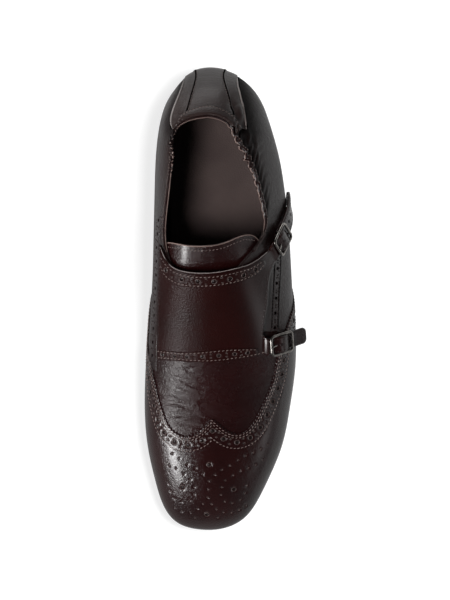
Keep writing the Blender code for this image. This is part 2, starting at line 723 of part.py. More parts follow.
def block(name, which, along, across, out):
    points = [(a, b, c) for a in along for b in across for c in out]
    faces = [(0, 1, 3, 2), (4, 6, 7, 5), (0, 4, 5, 1), (2, 3, 7, 6), (0, 2, 6, 4), (1, 5, 7, 3)]
    return make_object(name, place_at_buckle(which, points), faces, "leather")


def tube(name, which, path, thickness, finish, closed=False, sides=8):
    """A round wire along a path given in a buckle's own axes."""
    path = np.asarray(path, float)
    count = len(path)
    if closed:
        way = np.roll(path, -1, axis=0) - np.roll(path, 1, axis=0)
    else:
        way = np.gradient(path, axis=0)
    way /= np.linalg.norm(way, axis=1, keepdims=True)
    # A wire that bends in one plane keeps that plane's normal all along.
    span = path - path.mean(axis=0)
    plane = np.linalg.svd(span)[2][2]
    points = []
    for spot, direction in zip(path, way):
        beside = np.cross(plane, direction)
        beside /= np.linalg.norm(beside)
        for k in range(sides):
            turn = 2 * math.pi * (k + 0.5) / sides
            points.append(spot + (beside * math.cos(turn) + plane * math.sin(turn))
                          * thickness / 2)
    faces = []
    for i in range(count if closed else count - 1):
        for k in range(sides):
            a, b = i * sides + k, i * sides + (k + 1) % sides
            c, d = ((i + 1) % count) * sides + (k + 1) % sides, ((i + 1) % count) * sides + k
            faces.append((a, b, c, d))
    if not closed:
        faces += [tuple(range(sides - 1, -1, -1)),
                  tuple(range((count - 1) * sides, count * sides))]
    return make_object(name, place_at_buckle(which, points), faces, finish)


def arc(middle, radius, start, end, steps):
    """Points of an arc in the plane along the strap and out from the wall."""
    turns = np.linspace(math.radians(start), math.radians(end), steps)
    return [(middle[0] + radius * math.cos(turn), middle[1] + radius * math.sin(turn))
            for turn in turns]


def make_buckle(which):
    """A frame with its centre bar, the prong hung on the bar, and the tab that holds both."""
    half_length, half_width = (FRAME_LENGTH - BAR) / 2, (FRAME_WIDTH - BAR) / 2
    ring = []
    for corner, (sign_a, sign_b) in enumerate(((1, 1), (-1, 1), (-1, -1), (1, -1))):
        for turn in np.linspace(0, math.pi / 2, 6) + corner * math.pi / 2:
            ring.append((sign_a * (half_length - FRAME_CORNER) + FRAME_CORNER * math.cos(turn),
                         sign_b * (half_width - FRAME_CORNER) + FRAME_CORNER * math.sin(turn),
                         FRAME_Z))
    frame = tube(f"buckle_frame_{which}", which, ring, BAR, "metal", closed=True)
    drop = FRAME_Z - CENTRE_BAR_Z
    bend = 1.0
    side = [(half_width - bend + bend * math.cos(turn), CENTRE_BAR_Z + bend + bend * math.sin(turn))
            for turn in np.linspace(0, -math.pi / 2, 5)]
    half_bar = [(0.0, half_width, CENTRE_BAR_Z + drop - 0.2)] + [(0.0, w, z) for w, z in side]
    bar = half_bar + [(0.0, -w, z) for _, w, z in reversed(half_bar)]
    cut(frame, "UNION", tube(f"centre_bar_{which}", which, bar, BAR * 0.96, "metal"))

    eye = (BAR + PRONG) / 2 + GAP
    hook = arc((0.0, CENTRE_BAR_Z), eye, -150, 118, 15)
    tip = (-(FRAME_LENGTH - BAR) / 2 - 1.0, FRAME_Z + BAR / 2 + GAP + PRONG / 2)
    start = hook[-1]
    rise = [(tip[0] * share - (1 - share) * eye, tip[1] + (start[1] - tip[1]) * (1 - share) ** 1.5)
            for share in (0.25, 0.5, 0.75, 1.0)]
    path = [(a, 0.0, c) for a, c in hook + rise]
    tube(f"buckle_prong_{which}", which, path, PRONG, "metal", sides=6)

    loop = BAR / 2 + GAP + TAB / 2
    low = GAP + TAB / 2 + 0.1
    middle_line = ([(13.0, low), (6.0, low), (2.6, low + 0.1)]
                   + arc((0.0, CENTRE_BAR_Z), loop, -75, -280, 14)
                   + [(2.6, low + 2 * TAB + 0.7), (5.2, low + TAB + GAP)])
    make_tab(which, middle_line)


def make_tab(which, middle_line):
    line = np.asarray(middle_line)
    way = np.gradient(line, axis=0)
    way /= np.linalg.norm(way, axis=1, keepdims=True)
    beside = np.stack([-way[:, 1], way[:, 0]], axis=1) * TAB / 2
    profile = np.concatenate([line + beside, (line - beside)[::-1]])
    count = len(profile)
    half = STRAP_WIDTH / 2 - 0.7
    points = [(a, side * half, c) for side in (-1, 1) for a, c in profile]
    faces = [(k, (k + 1) % count, count + (k + 1) % count, count + k) for k in range(count)]
    strip = len(line)
    for start in (0, count):
        faces += [(start + k, start + k + 1, start + count - 2 - k, start + count - 1 - k)
                  for k in range(strip - 1)]
    tab = make_object(f"buckle_tab_{which}", place_at_buckle(which, points), faces, "leather")
    cut(tab, "DIFFERENCE", block(f"tab_slot_{which}", which, *TAB_SLOT))


def main():
    for old in list(bpy.data.objects):
        bpy.data.objects.remove(old, do_unlink=True)
    make_sole()
    make_heel()
    make_insole()
    make_upper()
    make_tongue()
    make_strap_panel()
    for which in BUCKLES:
        make_buckle(which)


main()
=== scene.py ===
# %% [markdown]
# # A left brogue closed by two buckled straps
#
# The shoe stands empty on a pale studio floor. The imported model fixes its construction, so this
# lesson gives it its looks: fine surfaces, cut leather, punched holes, stitches, buckles,
# finishes and light.
#
# Everything is worked out in the shoe's own millimetres: x from the long axis (inner side
# negative, outer side positive), station forward from the back of the heel, z above the floor.

# %% Loading the fixed frame
import json
import math

import bmesh
import bpy
import numpy as np
from mathutils import Matrix, Vector
from mathutils.kdtree import KDTree
from mathutils.bvhtree import BVHTree
from mathutils.geometry import delaunay_2d_cdt

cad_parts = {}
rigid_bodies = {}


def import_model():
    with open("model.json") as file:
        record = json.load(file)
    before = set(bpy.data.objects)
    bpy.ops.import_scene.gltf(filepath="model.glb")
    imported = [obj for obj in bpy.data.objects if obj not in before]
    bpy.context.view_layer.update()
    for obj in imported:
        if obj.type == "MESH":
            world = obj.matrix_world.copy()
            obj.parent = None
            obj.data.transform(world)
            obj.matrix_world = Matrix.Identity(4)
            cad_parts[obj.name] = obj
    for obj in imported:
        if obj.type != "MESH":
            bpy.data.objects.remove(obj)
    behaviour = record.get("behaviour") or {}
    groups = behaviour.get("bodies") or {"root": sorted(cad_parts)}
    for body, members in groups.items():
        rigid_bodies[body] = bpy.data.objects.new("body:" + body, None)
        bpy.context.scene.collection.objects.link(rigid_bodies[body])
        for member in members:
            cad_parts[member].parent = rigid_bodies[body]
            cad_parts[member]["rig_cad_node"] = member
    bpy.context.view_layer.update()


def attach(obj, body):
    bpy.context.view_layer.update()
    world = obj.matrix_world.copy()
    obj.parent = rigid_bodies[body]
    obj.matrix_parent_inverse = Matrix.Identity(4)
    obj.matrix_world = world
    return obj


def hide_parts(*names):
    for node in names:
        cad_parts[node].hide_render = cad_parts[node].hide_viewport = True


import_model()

# %% [markdown]
# ## The last
#
# A shoe is built over a last, the solid form of the foot. Here the last is a table of
# cross-sections from heel to toe. Each section is one Bezier arc on each side, from its widest
# line up to its ridge, and smooth curves run through the table's rows. The same table shaped
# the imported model, so every fine surface made from it lands where its solid is.

# %% Sizes and the table of sections
MM = 0.001
LENGTH = 300.0
X_MID = 10.449
GAP = 0.3
WALL = 2.0
OUTSOLE = 4.5
HEEL_HEIGHT, HEEL_BREAST = 15.0, 66.0
TREAD_BACK, TREAD_FRONT = 176.0, 204.0
TOE_SPRING = 7.5
LAST_COLUMNS = ("station", "inner", "outer", "widest", "ridge", "inner_wall", "outer_wall",
    "inner_crown", "outer_crown")
LAST = (
    (0.0,   0.0,  0.0, 38.0, 38.0, 0.60, 0.50, 0.55, 0.55),
    (5.0,  15.6, 18.2, 38.2, 49.0, 0.62, 0.48, 0.55, 0.55),
    (12.0, 22.2, 26.8, 38.6, 58.5, 0.66, 0.45, 0.55, 0.52),
    (22.0, 28.6, 33.6, 39.2, 67.5, 0.76, 0.38, 0.55, 0.48),
    (36.0, 32.9, 38.8, 40.0, 76.5, 0.86, 0.28, 0.55, 0.42),
    (56.0, 35.4, 44.4, 41.0, 84.5, 0.78, 0.20, 0.55, 0.36),
    (80.0, 36.3, 48.4, 41.0, 90.0, 0.66, 0.18, 0.55, 0.34),
    (112.0, 37.0, 51.6, 39.0, 92.5, 0.68, 0.20, 0.55, 0.36),
    (140.0, 37.8, 53.4, 35.0, 81.0, 0.70, 0.34, 0.55, 0.45),
    (165.0, 39.4, 55.0, 31.0, 70.0, 0.66, 0.46, 0.55, 0.52),
    (190.0, 40.8, 55.4, 27.0, 60.5, 0.60, 0.52, 0.56, 0.56),
    (219.0, 41.6, 52.0, 23.5, 52.5, 0.58, 0.56, 0.60, 0.60),
    (243.0, 40.0, 47.4, 21.5, 48.5, 0.58, 0.58, 0.64, 0.64),
    (266.0, 35.2, 38.4, 20.0, 44.0, 0.58, 0.58, 0.64, 0.64),
    (282.0, 30.4, 30.4, 19.5, 38.2, 0.56, 0.56, 0.60, 0.60),
    (292.0, 24.4, 22.8, 19.5, 32.0, 0.55, 0.55, 0.56, 0.56),
    (297.5, 16.2, 13.8, 19.5, 26.0, 0.55, 0.55, 0.55, 0.55),
    (300.0, 0.0,  0.0, 19.5, 19.5, 0.55, 0.55, 0.55, 0.55),
)
SEAM_BACK, SEAM_FRONT = 5.0, 296.5
SEAM_COLUMNS = ("station", "inner", "outer")
SEAM = (
    (5, 0, 0), (9, 14, 15.6), (17, 21.5, 24.6), (30, 27.5, 31.6),
    (48, 30.4, 35.6), (70, 30.4, 38.2), (100, 29, 40.4), (130, 30.6, 44.6),
    (160, 35.4, 49.6), (190, 37.8, 51.6), (219, 38.6, 48.6), (243, 37, 44.2),
    (266, 32.2, 35.2), (282, 26.6, 26.8), (290, 21, 20.4), (294.5, 13.2, 12),
    (296.5, 0, 0),
)
COLLAR = (
    (-2.5, 32.5), (6, 34.6), (13, 40), (17.8, 48.5), (24.4, 61), (30, 77),
    (33.8, 92), (34.6, 103), (31, 112.5), (20.4, 125.5), (7, 140), (-6, 146),
    (-20, 138), (-28.6, 123), (-31, 107), (-29.8, 91), (-27.4, 70),
    (-25.9, 52), (-24, 41), (-14, 34.4),
)


# %% Smooth curves through short tables
def cubic_through(places, values):
    """A smooth curve through rows; returns a function of place."""
    places = np.asarray(places, float)
    values = np.asarray(values, float)
    count = len(places)
    steps = np.diff(places)
    system = np.eye(count)
    target = np.zeros((count,) + values.shape[1:])
    for k in range(1, count - 1):
        system[k, k - 1:k + 2] = steps[k - 1], 2 * (steps[k - 1] + steps[k]), steps[k]
        target[k] = 6 * ((values[k + 1] - values[k]) / steps[k]
            - (values[k] - values[k - 1]) / steps[k - 1])
    bend = np.linalg.solve(system, target)

    def at(place):
        place = np.asarray(place, float)
        k = np.clip(np.searchsorted(places, place) - 1, 0, count - 2)
        step = steps[k]
        before = (places[k + 1] - place) / step
        after = 1 - before
        if values.ndim > 1:
            step, before, after = step[..., None], before[..., None], after[..., None]
        return (before * values[k] + after * values[k + 1]
            + ((before ** 3 - before) * bend[k] + (after ** 3 - after) * bend[k + 1]) * step ** 2 / 6)
    return at


def way_along(points):
    """How far along a path each of its points lies."""
    return np.concatenate([[0], np.cumsum(np.linalg.norm(np.diff(points, axis=0), axis=1))])


def cubic_along(points):
    """A smooth curve through points, as a function of the share of the way."""
    way = way_along(points)
    return cubic_through(way / way[-1], points)


def smooth_path(points, count=200):
    return cubic_along(points)(np.linspace(0, 1, count))


def station_to_turn(station, back=0.0, front=LENGTH):
    """A station as an angle from 0 at the back to pi, so that ends stay round."""
    share = np.clip((np.asarray(station, float) - back) / (front - back), 0, 1)
    return np.arccos(1 - 2 * share)


def turn_to_station(turn, back=0.0, front=LENGTH):
    return back + (front - back) * (1 - np.cos(turn)) / 2


def read_table(columns, rows, back, front):
    turns = station_to_turn([row[0] for row in rows], back, front)
    return {name: cubic_through(turns, [row[k] for row in rows])
            for k, name in enumerate(columns) if k > 0}


last = read_table(LAST_COLUMNS, LAST, 0.0, LENGTH)
seam = read_table(SEAM_COLUMNS, SEAM, SEAM_BACK, SEAM_FRONT)


# %% Points and normals of the last
def unit(vectors):
    return vectors / np.maximum(np.linalg.norm(vectors, axis=-1, keepdims=True), 1e-12)


def ring_way(ring):
    """The direction at each point of a closed path."""
    return unit(np.roll(ring, -1, axis=0) - np.roll(ring, 1, axis=0))


def eased_in(share):
    """0 below 0 and 1 above 1, with a soft start and end between them."""
    share = np.clip(share, 0, 1)
    return share ** 2 * (3 - 2 * share)


def side_value(table, name, turn, side):
    """The inner or outer column of a table, by the sign of side."""
    return np.where(side < 0, table["inner" + name](turn), table["outer" + name](turn))


def crown_point(station, side, rise):
    """The last above its widest line: rise 0 on that line, 1 on the ridge."""
    turn = station_to_turn(station)
    width = side_value(last, "", turn, side)
    wall = side_value(last, "_wall", turn, side)
    crown = side_value(last, "_crown", turn, side)
    widest, ridge = last["widest"](turn), last["ridge"](turn)
    fall = 1 - rise
    inward = 3 * fall * rise ** 2 * (1 - crown) + rise ** 3
    upward = 3 * fall ** 2 * rise * wall + 3 * fall * rise ** 2 + rise ** 3
    x = np.where(side < 0, -1, 1) * width * (1 - inward)
    return np.stack([x, station + 0 * x, widest + (ridge - widest) * upward], axis=-1)


def rise_at(station, x):
    """How far up the section the point over a place on the plan lies."""
    turn = station_to_turn(station)
    width = side_value(last, "", turn, x)
    crown = side_value(last, "_crown", turn, x)
    wanted = np.clip(1 - np.abs(x) / np.maximum(width, 1e-6), 0, 1)
    low, high = np.zeros_like(wanted), np.ones_like(wanted)
    for _ in range(30):
        middle = (low + high) / 2
        inward = 3 * (1 - middle) * middle ** 2 * (1 - crown) + middle ** 3
        low = np.where(inward < wanted, middle, low)
        high = np.where(inward < wanted, high, middle)
    return (low + high) / 2


def crown_normal(station, side, rise):
    """The last's outward normal above its widest line."""
    step = 0.02
    rise = np.clip(rise, step, 1 - step / 2)
    along = crown_point(station + 0.2, side, rise) - crown_point(station - 0.2, side, rise)
    up = (crown_point(station, side, np.minimum(rise + step, 1.0))
          - crown_point(station, side, rise - step))
    return unit(np.cross(along, up) * np.where(side < 0, -1, 1)[..., None])


def on_plan(flat):
    """The last's points and normals over places on the plan."""
    flat = np.asarray(flat, float)
    x, station = flat[..., 0], flat[..., 1]
    rise = rise_at(station, x)
    return crown_point(station, x, rise), crown_normal(station, x, rise)


def sole_underside(station):
    """The outsole's underside: heel seat, arch, tread and toe spring."""
    arch = eased_in((station - HEEL_BREAST) / (TREAD_BACK - HEEL_BREAST))
    spring = np.clip((station - TREAD_FRONT) / (LENGTH - TREAD_FRONT), 0, 1)
    return HEEL_HEIGHT * (1 - arch) + TOE_SPRING * spring ** 1.8


def both_sides(count):
    """Turns and sides once round the shoe: heel to toe on the inner side, and back."""
    half = np.linspace(0, math.pi, count // 2 + 1)
    turns = np.concatenate([half, half[-2:0:-1]])
    sides = np.concatenate([-np.ones(len(half)), np.ones(len(half) - 2)])
    return turns, sides


def sole_outline(count, inset=0.0):
    """The seam between upper and sole once round the plan, moved inwards."""
    turns, sides = both_sides(count)
    width = side_value(seam, "", turns, sides)
    plan = np.stack([sides * width, turn_to_station(turns, SEAM_BACK, SEAM_FRONT)], axis=-1)
    way = ring_way(plan)
    return plan + np.stack([way[:, 1], -way[:, 0]], axis=-1) * inset


# %% Meshes from the shoe's own millimetres
def to_world(points):
    points = np.asarray(points, float)
    return np.stack([(points[..., 0] - X_MID) * MM, (LENGTH / 2 - points[..., 1]) * MM,
        points[..., 2] * MM], axis=-1)


def added(name, data):
    """A new object in the scene."""
    made = bpy.data.objects.new(name, data)
    bpy.context.collection.objects.link(made)
    return made


def make_piece(name, points, faces, finish):
    """A smooth closed mesh in the shoe's place, its faces pointing outwards."""
    mesh = bpy.data.meshes.new(name)
    mesh.from_pydata(to_world(points).tolist(), [], [tuple(map(int, face)) for face in faces])
    work = bmesh.new()
    work.from_mesh(mesh)
    bmesh.ops.remove_doubles(work, verts=work.verts, dist=0.000004)
    bmesh.ops.recalc_face_normals(work, faces=work.faces)
    if work.calc_volume(signed=True) < 0:
        bmesh.ops.reverse_faces(work, faces=work.faces)
    work.to_mesh(mesh)
    work.free()
    mesh.shade_smooth()
    mesh.materials.append(finish)
    return added(name, mesh)


def place(piece, slot, *nodes):
    """Let a piece ride on the shoe and hide the CAD nodes it stands for. Its slot is not used."""
    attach(piece, "root")
    if nodes:
        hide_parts(*nodes)
    piece.data.calc_loop_triangles()
    print(f"{piece.name}: {len(piece.data.loop_triangles)} triangles")
    return piece


def grid_faces(rows, columns, closed=False):
    """Faces of a grid of points, whose last row joins the first when closed."""
    pairs = [(i * columns, (i + 1) % rows * columns) for i in range(rows if closed else rows - 1)]
    return [(a + j, b + j, b + j + 1, a + j + 1) for a, b in pairs for j in range(columns - 1)]


def tube_faces(count, around, closed=False):
    """Faces of a tube of rings: a loop when closed, capped at its ends if not."""
    faces = []
    for i in range(count if closed else count - 1):
        here, then = i * around, (i + 1) % count * around
        faces += [(here + k, here + (k + 1) % around, then + (k + 1) % around, then + k)
                  for k in range(around)]
    if not closed:
        faces += [tuple(range(around - 1, -1, -1)), tuple(range((count - 1) * around, count * around))]
    return faces


def joined_faces(faces, same):
    """Faces renumbered to the points they share, without those that shrink to a line."""
    rings = [tuple(dict.fromkeys(int(same[k]) for k in face)) for face in faces]
    return [ring for ring in rings if len(ring) >= 3]


def shared_spots(points, reach):
    """The first point on each spot, and which spot each point lies on."""
    spots = np.round(points / reach).astype(np.int64)
    first, same = np.unique(spots, axis=0, return_index=True, return_inverse=True)[1:]
    return first, same.reshape(-1)


def open_edges(faces):
    """Directed edges that only one face of a sheet uses."""
    edges = {(face[k], face[(k + 1) % len(face)]) for face in faces for k in range(len(face))}
    return [edge for edge in edges if (edge[1], edge[0]) not in edges]


def sheet_piece(name, outer, inner, faces, finish, roll=0.3):
    """A thick sheet of leather whose cut edges bulge by a share of its thickness."""
    outer, inner = np.asarray(outer, float), np.asarray(inner, float)
    rim = np.array(open_edges(faces))
    count, (start, end) = len(outer), rim.T
    out = unit(np.cross(outer[end] - outer[start], outer[start] - inner[start]))
    push = np.zeros_like(outer)
    np.add.at(push, start, out)
    np.add.at(push, end, out)
    # A face's winding decides which side of its edge is outside: test one, turn all.
    a, b = rim[0]
    face = next(face for face in faces if a in face and b in face)
    if push[a] @ (outer[a] - outer[list(face)].mean(axis=0)) < 0:
        push = -push
    # Each rim point gets one more halfway down the cut edge, pushed out from the sheet.
    on_rim = np.unique(rim)
    middle = dict(zip(on_rim.tolist(), range(2 * count, 2 * count + len(on_rim))))
    thickness = np.linalg.norm(outer - inner, axis=1, keepdims=True)
    extra = ((outer + inner) / 2 + unit(push) * thickness * roll)[on_rim]
    solid = list(faces) + [tuple(count + k for k in reversed(face)) for face in faces]
    for a, b in rim.tolist():
        solid += [(b, a, middle[a], middle[b]), (middle[b], middle[a], count + a, count + b)]
    return make_piece(name, np.concatenate([outer, inner, extra]), solid, finish)


# %% [markdown]
# ## The upper's skin, unrolled
#
# A pattern cutter tapes a last, peels the tape off and lays it flat. The overlaid pieces below
# are drawn on such a flat sheet too. Every section of the upper runs from the sole's seam up to
# the collar, or in front of it to the ridge, and is unrolled straight outwards from that upper
# end at its true length. A place on the sheet is found again in a fine net of triangles, so
# outlines, holes and rows of stitches are drawn flat and then laid onto the form.

# %% The net of sections
SECTIONS, WALL_ROWS, CROWN_ROWS = 720, 15, 45
COLLAR_SHARE, TOE_RIDGE_END, RIDGE_PACE = 0.52, 268.0, 1.35
WALL_OUT, WALL_FOOT, WALL_TOP = 0.45, 0.25, 0.62


def collar_path(side):
    """One side of the collar's edge, from the heel to the bottom of the throat."""
    ring = cubic_along(np.asarray(COLLAR + COLLAR[:1]))(np.linspace(0, 1, 721))[:-1]
    heel, throat = int(np.argmin(ring[:, 1])), int(np.argmax(ring[:, 1]))
    if side > 0:
        picks = np.arange(heel, throat + 1)
    else:
        picks = np.arange(heel + len(ring), throat - 1, -1) % len(ring)
    return cubic_along(ring[picks])


def section_ends(turns, sides):
    """Where each section ends on the plan: on the collar, or on the ridge."""
    share = turns / math.pi
    ends = np.zeros((len(turns), 2))
    for side in (-1.0, 1.0):
        path = collar_path(side)
        along = path(np.clip(share / COLLAR_SHARE, 0, 1))
        throat = path(np.asarray(1.0))
        front = np.clip((share - COLLAR_SHARE) / (1 - COLLAR_SHARE) * RIDGE_PACE, 0, 1)
        ridge = np.stack([throat[0] * (1 - front), throat[1] + (TOE_RIDGE_END - throat[1]) * front],
            axis=-1)
        here = np.where((share <= COLLAR_SHARE)[:, None], along, ridge)
        ends[sides == side] = here[sides == side]
    return ends


def wall_row(foot, widest, rise):
    """Points between the seam and the widest line, bulging above the sole."""
    fall = 1 - rise
    out = 3 * fall ** 2 * rise * WALL_OUT + 3 * fall * rise ** 2 + rise ** 3
    up = 3 * fall ** 2 * rise * WALL_FOOT + 3 * fall * rise ** 2 * WALL_TOP + rise ** 3
    return foot + (widest - foot) * np.array([out, out, up])


turns, sides = both_sides(SECTIONS)
ends = section_ends(turns, sides)
seam_plan = sole_outline(SECTIONS)
foot = np.column_stack([seam_plan, sole_underside(seam_plan[:, 1]) + OUTSOLE + GAP])
widest = crown_point(turn_to_station(turns), sides, 0 * turns)
net = [wall_row(foot, widest, k / WALL_ROWS) for k in range(WALL_ROWS + 1)]
for k in range(1, CROWN_ROWS + 1):
    plan = widest[:, :2] + (ends - widest[:, :2]) * (1 - math.cos(math.pi / 2 * k / CROWN_ROWS))
    x = np.where(np.abs(plan[:, 0]) < 1e-4, 1e-4 * sides, plan[:, 0])
    net.append(crown_point(plan[:, 1], x, rise_at(plan[:, 1], x)))
net = np.stack(net, axis=1)
ROWS = net.shape[1]
steps = np.linalg.norm(np.diff(net, axis=1), axis=2)
below_end = np.zeros((SECTIONS, ROWS))          # each point's distance from its section's end
below_end[:, :-1] = np.cumsum(steps[:, ::-1], axis=1)[:, ::-1]
section_way = unit(widest[:, :2] - ends)
sheet_net = ends[:, None] + section_way[:, None] * below_end[..., None]
print("net:", SECTIONS, "sections of", ROWS, "points, longest", round(below_end.max(), 1), "mm")

# %% [markdown]
# ## Creases and gathers
#
# Worn leather shows where the foot bends: soft troughs cross the vamp behind the toe cap. The
# rear of the collar hides an elastic, which gathers the leather into small folds. Both move the
# net along its own normals, drawn as short curves with a depth and a width, so every
# piece laid on the net later follows them.

# %% Normals of the net
def net_normals(points):
    """Smooth outward normals, shared wherever the net closes on itself."""
    same = shared_spots(points.reshape(-1, 3), 0.02)[1]
    around = np.concatenate([points, points[:1]])
    faces = np.cross(around[1:, 1:] - around[:-1, :-1], around[:-1, 1:] - around[1:, :-1])
    total = np.zeros_like(points)
    for i, j in ((0, 0), (0, 1), (1, 0), (1, 1)):
        total[:, j:j + ROWS - 1] += np.roll(faces, i, axis=0)
    gathered = np.zeros((same.max() + 1, 3))
    np.add.at(gathered, same, total.reshape(-1, 3))
    normals = unit(gathered[same]).reshape(points.shape)
    middle = points.reshape(-1, 3).mean(axis=0)
    return normals if ((points - middle) * normals).sum() > 0 else -normals


def nearness(points, path):
    """The distance of flat points from a path, and their share of the way along it."""
    way, best, share = way_along(path), np.full(points.shape[:-1], 1e9), np.zeros(points.shape[:-1])
    for k in range(len(path) - 1):
        step = path[k + 1] - path[k]
        t = np.clip(((points - path[k]) @ step) / (step @ step), 0, 1)
        distance = np.linalg.norm(points - path[k] - t[..., None] * step, axis=-1)
        share = np.where(distance < best, (way[k] + t * (way[k + 1] - way[k])) / way[-1], share)
        best = np.minimum(best, distance)
    return best, share


def hump(value, start, end, soft):
    """1 between start and end, easing to 0 outside them."""
    return eased_in(np.minimum(value - start, end - value) / soft + 1)


# Each crease: its curve on the plan, its depth and its half width.
CREASES = (
    (((-22, 191), (-16, 194), (-9, 199)), 0.34, 1.3),
    (((-28, 198), (-19, 201.5), (-11, 205.8), (-3, 206.5)), 0.42, 1.1),
    (((-22, 204), (-13, 208.8), (-3, 208.8)), 0.34, 1),
    (((-33, 207), (-25, 211), (-16, 212.5)), 0.3, 1.7),
    (((-27, 215.4), (-19, 218), (-12, 220.6)), 0.3, 1.1),
    (((-29, 216.5), (-22, 217), (-13, 219.5)), 0.28, 1.4),
    (((-31, 221), (-24, 224.5), (-15, 223), (-7, 225)), 0.33, 1.8),
    (((-26, 194), (-17, 195), (-9, 193)), 0.23, 1.2),
    (((-25, 230.5), (-18, 229.5), (-12, 231.5)), 0.2, 1.2),
    (((-18, 204.5), (-9, 206.5), (0, 204)), 0.19, 1.1),
    (((-10, 214), (-3, 216), (5, 213)), 0.16, 1.3),
    (((20, 203), (30, 202), (40, 197), (47, 190)), 0.16, 2.4),
    (((16, 213), (27, 212.5), (38, 207)), 0.12, 2.2),
)
normals = net_normals(net)
relief = np.zeros((SECTIONS, ROWS))
crown = net[:, WALL_ROWS:, :2]
for curve, depth, half_width in CREASES:
    distance, share = nearness(crown, smooth_path(curve, 24))
    fade = np.sin(np.pi * np.clip(share, 0, 1)) ** 0.6
    trough = -depth * np.exp(-(distance / half_width) ** 2)
    ridges = 0.45 * depth * np.exp(-((distance - 1.9 * half_width) / half_width) ** 2)
    relief[:, WALL_ROWS:] += (trough + ridges) * fade

# %% Gathers along the collar
collar_steps = np.linalg.norm(np.diff(np.concatenate([ends, ends[:1]]), axis=0), axis=1)
collar_way = np.concatenate([[0], np.cumsum(collar_steps)[:-1]])[:, None]
end_station = ends[:, 1][:, None]
outer_rear = (sides > 0)[:, None] * hump(end_station, 42, 66, 5)
inner_rear = (sides < 0)[:, None] * hump(end_station, 40, 64, 6)
wander = 0.8 * np.sin(collar_way / 5.3) + 0.5 * np.sin(collar_way / 2.9 + below_end / 6)
ruffle = 1.5 * np.sin(collar_way / 4.1 + 0.7) + 0.8 * np.sin(collar_way / 2.3 + below_end / 5)
folds = (np.sin(2 * np.pi * (collar_way + ruffle) / 7.4)
         + 0.28 * np.sin(2 * np.pi * (collar_way - 0.6 * ruffle) / 3.7 + below_end / 4))
pleats = (1 - np.abs(np.sin(np.pi * (collar_way + 1.3 * ruffle + 0.25 * below_end) / 4.3))) ** 3
fine_folds = np.sin(2 * np.pi * (collar_way + 0.7 * wander) / 2.3 + below_end / 9)
slack = np.sin(2 * np.pi * (collar_way + 0.35 * below_end + 2.2 * wander) / 5.6)

# Soft folds that run outwards: the collar's station, slant, length, half width and depth.
SOFT_FOLDS = ((43, -0.3, 12, 1.3, 0.85), (48, -0.1, 16, 1.6, 1.15), (53.5, 0.15, 19, 2, 1.45),
    (60, 0.4, 18, 1.6, 1.1), (67, 0.55, 15, 1.5, 0.85), (76, 0.7, 13, 1.4, 0.65),
    (85, 0.8, 11, 1.3, 0.45))
# Painted shade: a mask, darkest in the pleats under the outer rear collar, that the quarter's finish
# darkens and dulls.
painted_shade = 1.1 * outer_rear * (0.35 + 0.8 * pleats) * np.exp(-((below_end - 3) / 4.5) ** 2)
# Thin crumples further down, with painted shade in them: they run out sooner towards the toe.
crumples = 0.5 + 0.5 * np.sin(2 * np.pi * (collar_way + 0.35 * below_end) / 5.2
    + 1.6 * np.sin(below_end / 3.4) + 1.2 * np.sin(collar_way / 5.1))
crumple_reach = np.clip(25 - (end_station - 45) / 3.6, 9, 25)
crumpled = ((sides > 0)[:, None] * hump(end_station, 41, 94, 6)
            * np.exp(-((below_end - 2) / crumple_reach) ** 2))
painted_shade = np.maximum(painted_shade, crumpled * (0.3 + 0.7 * crumples))
relief -= 0.5 * crumpled * crumples
# Swells and hollows beside them: station, distance below the collar, radius and height.
SOFT_SPOTS = ((47, 18, 4.5, 1.4), (52, 12, 3.2, -1.1), (57, 14, 3.4, 1),
              (63, 16, 3.6, -0.9), (70, 13, 4, 0.7), (39, 14, 4.5, -0.8))


def outer_collar_way(station):
    outer_ends = np.where((sides > 0)[:, None], abs(end_station - station), 1e9)
    return collar_way[int(np.argmin(outer_ends))]


for station, below, radius, height in SOFT_SPOTS:
    squared = (collar_way - outer_collar_way(station)) ** 2 + (below_end - below) ** 2
    spot = np.exp(-squared / radius ** 2) * (sides > 0)[:, None]
    relief += height * spot
    # Hollows get painted shade, swells none.
    painted_shade = np.maximum(painted_shade, max(-1.1 * height, 0.0) * spot)
for station, slant, length, half_width, depth in SOFT_FOLDS:
    start = outer_collar_way(station)
    across = (collar_way - start - slant * below_end) / half_width
    fold = np.exp(-across ** 2 - (below_end / length) ** 2) * (sides > 0)[:, None]
    relief -= depth * fold
    # Painted shade along each fold's trough.
    painted_shade = np.maximum(painted_shade, 1.2 * fold)
relief += 0.45 * outer_rear * folds * np.exp(-(below_end / 9) ** 2)
relief -= 1.6 * outer_rear * pleats * np.exp(-((below_end - 2) / 8.5) ** 2)
relief += 0.34 * inner_rear * fine_folds * np.exp(-(below_end / 8) ** 2)
relief += 0.2 * inner_rear * slack * np.exp(-((below_end - 9) / 7) ** 2)
net = net + normals * relief[..., None]
pull = (0.85 * outer_rear * folds + 0.3 * inner_rear * fine_folds) * np.exp(-(below_end / 4) ** 2)
net[..., :2] += section_way[:, None] * pull[..., None]
normals = net_normals(net)
print("relief from", round(relief.min(), 2), "to", round(relief.max(), 2), "mm")


# %% Finding a place on the net
net_quads = np.array(grid_faces(SECTIONS, ROWS, closed=True))
net_triangles = np.concatenate([net_quads[:, [0, 1, 2]], net_quads[:, [0, 2, 3]]])
net_points, net_outward = net.reshape(-1, 3), normals.reshape(-1, 3)
sheet_points = sheet_net.reshape(-1, 2)


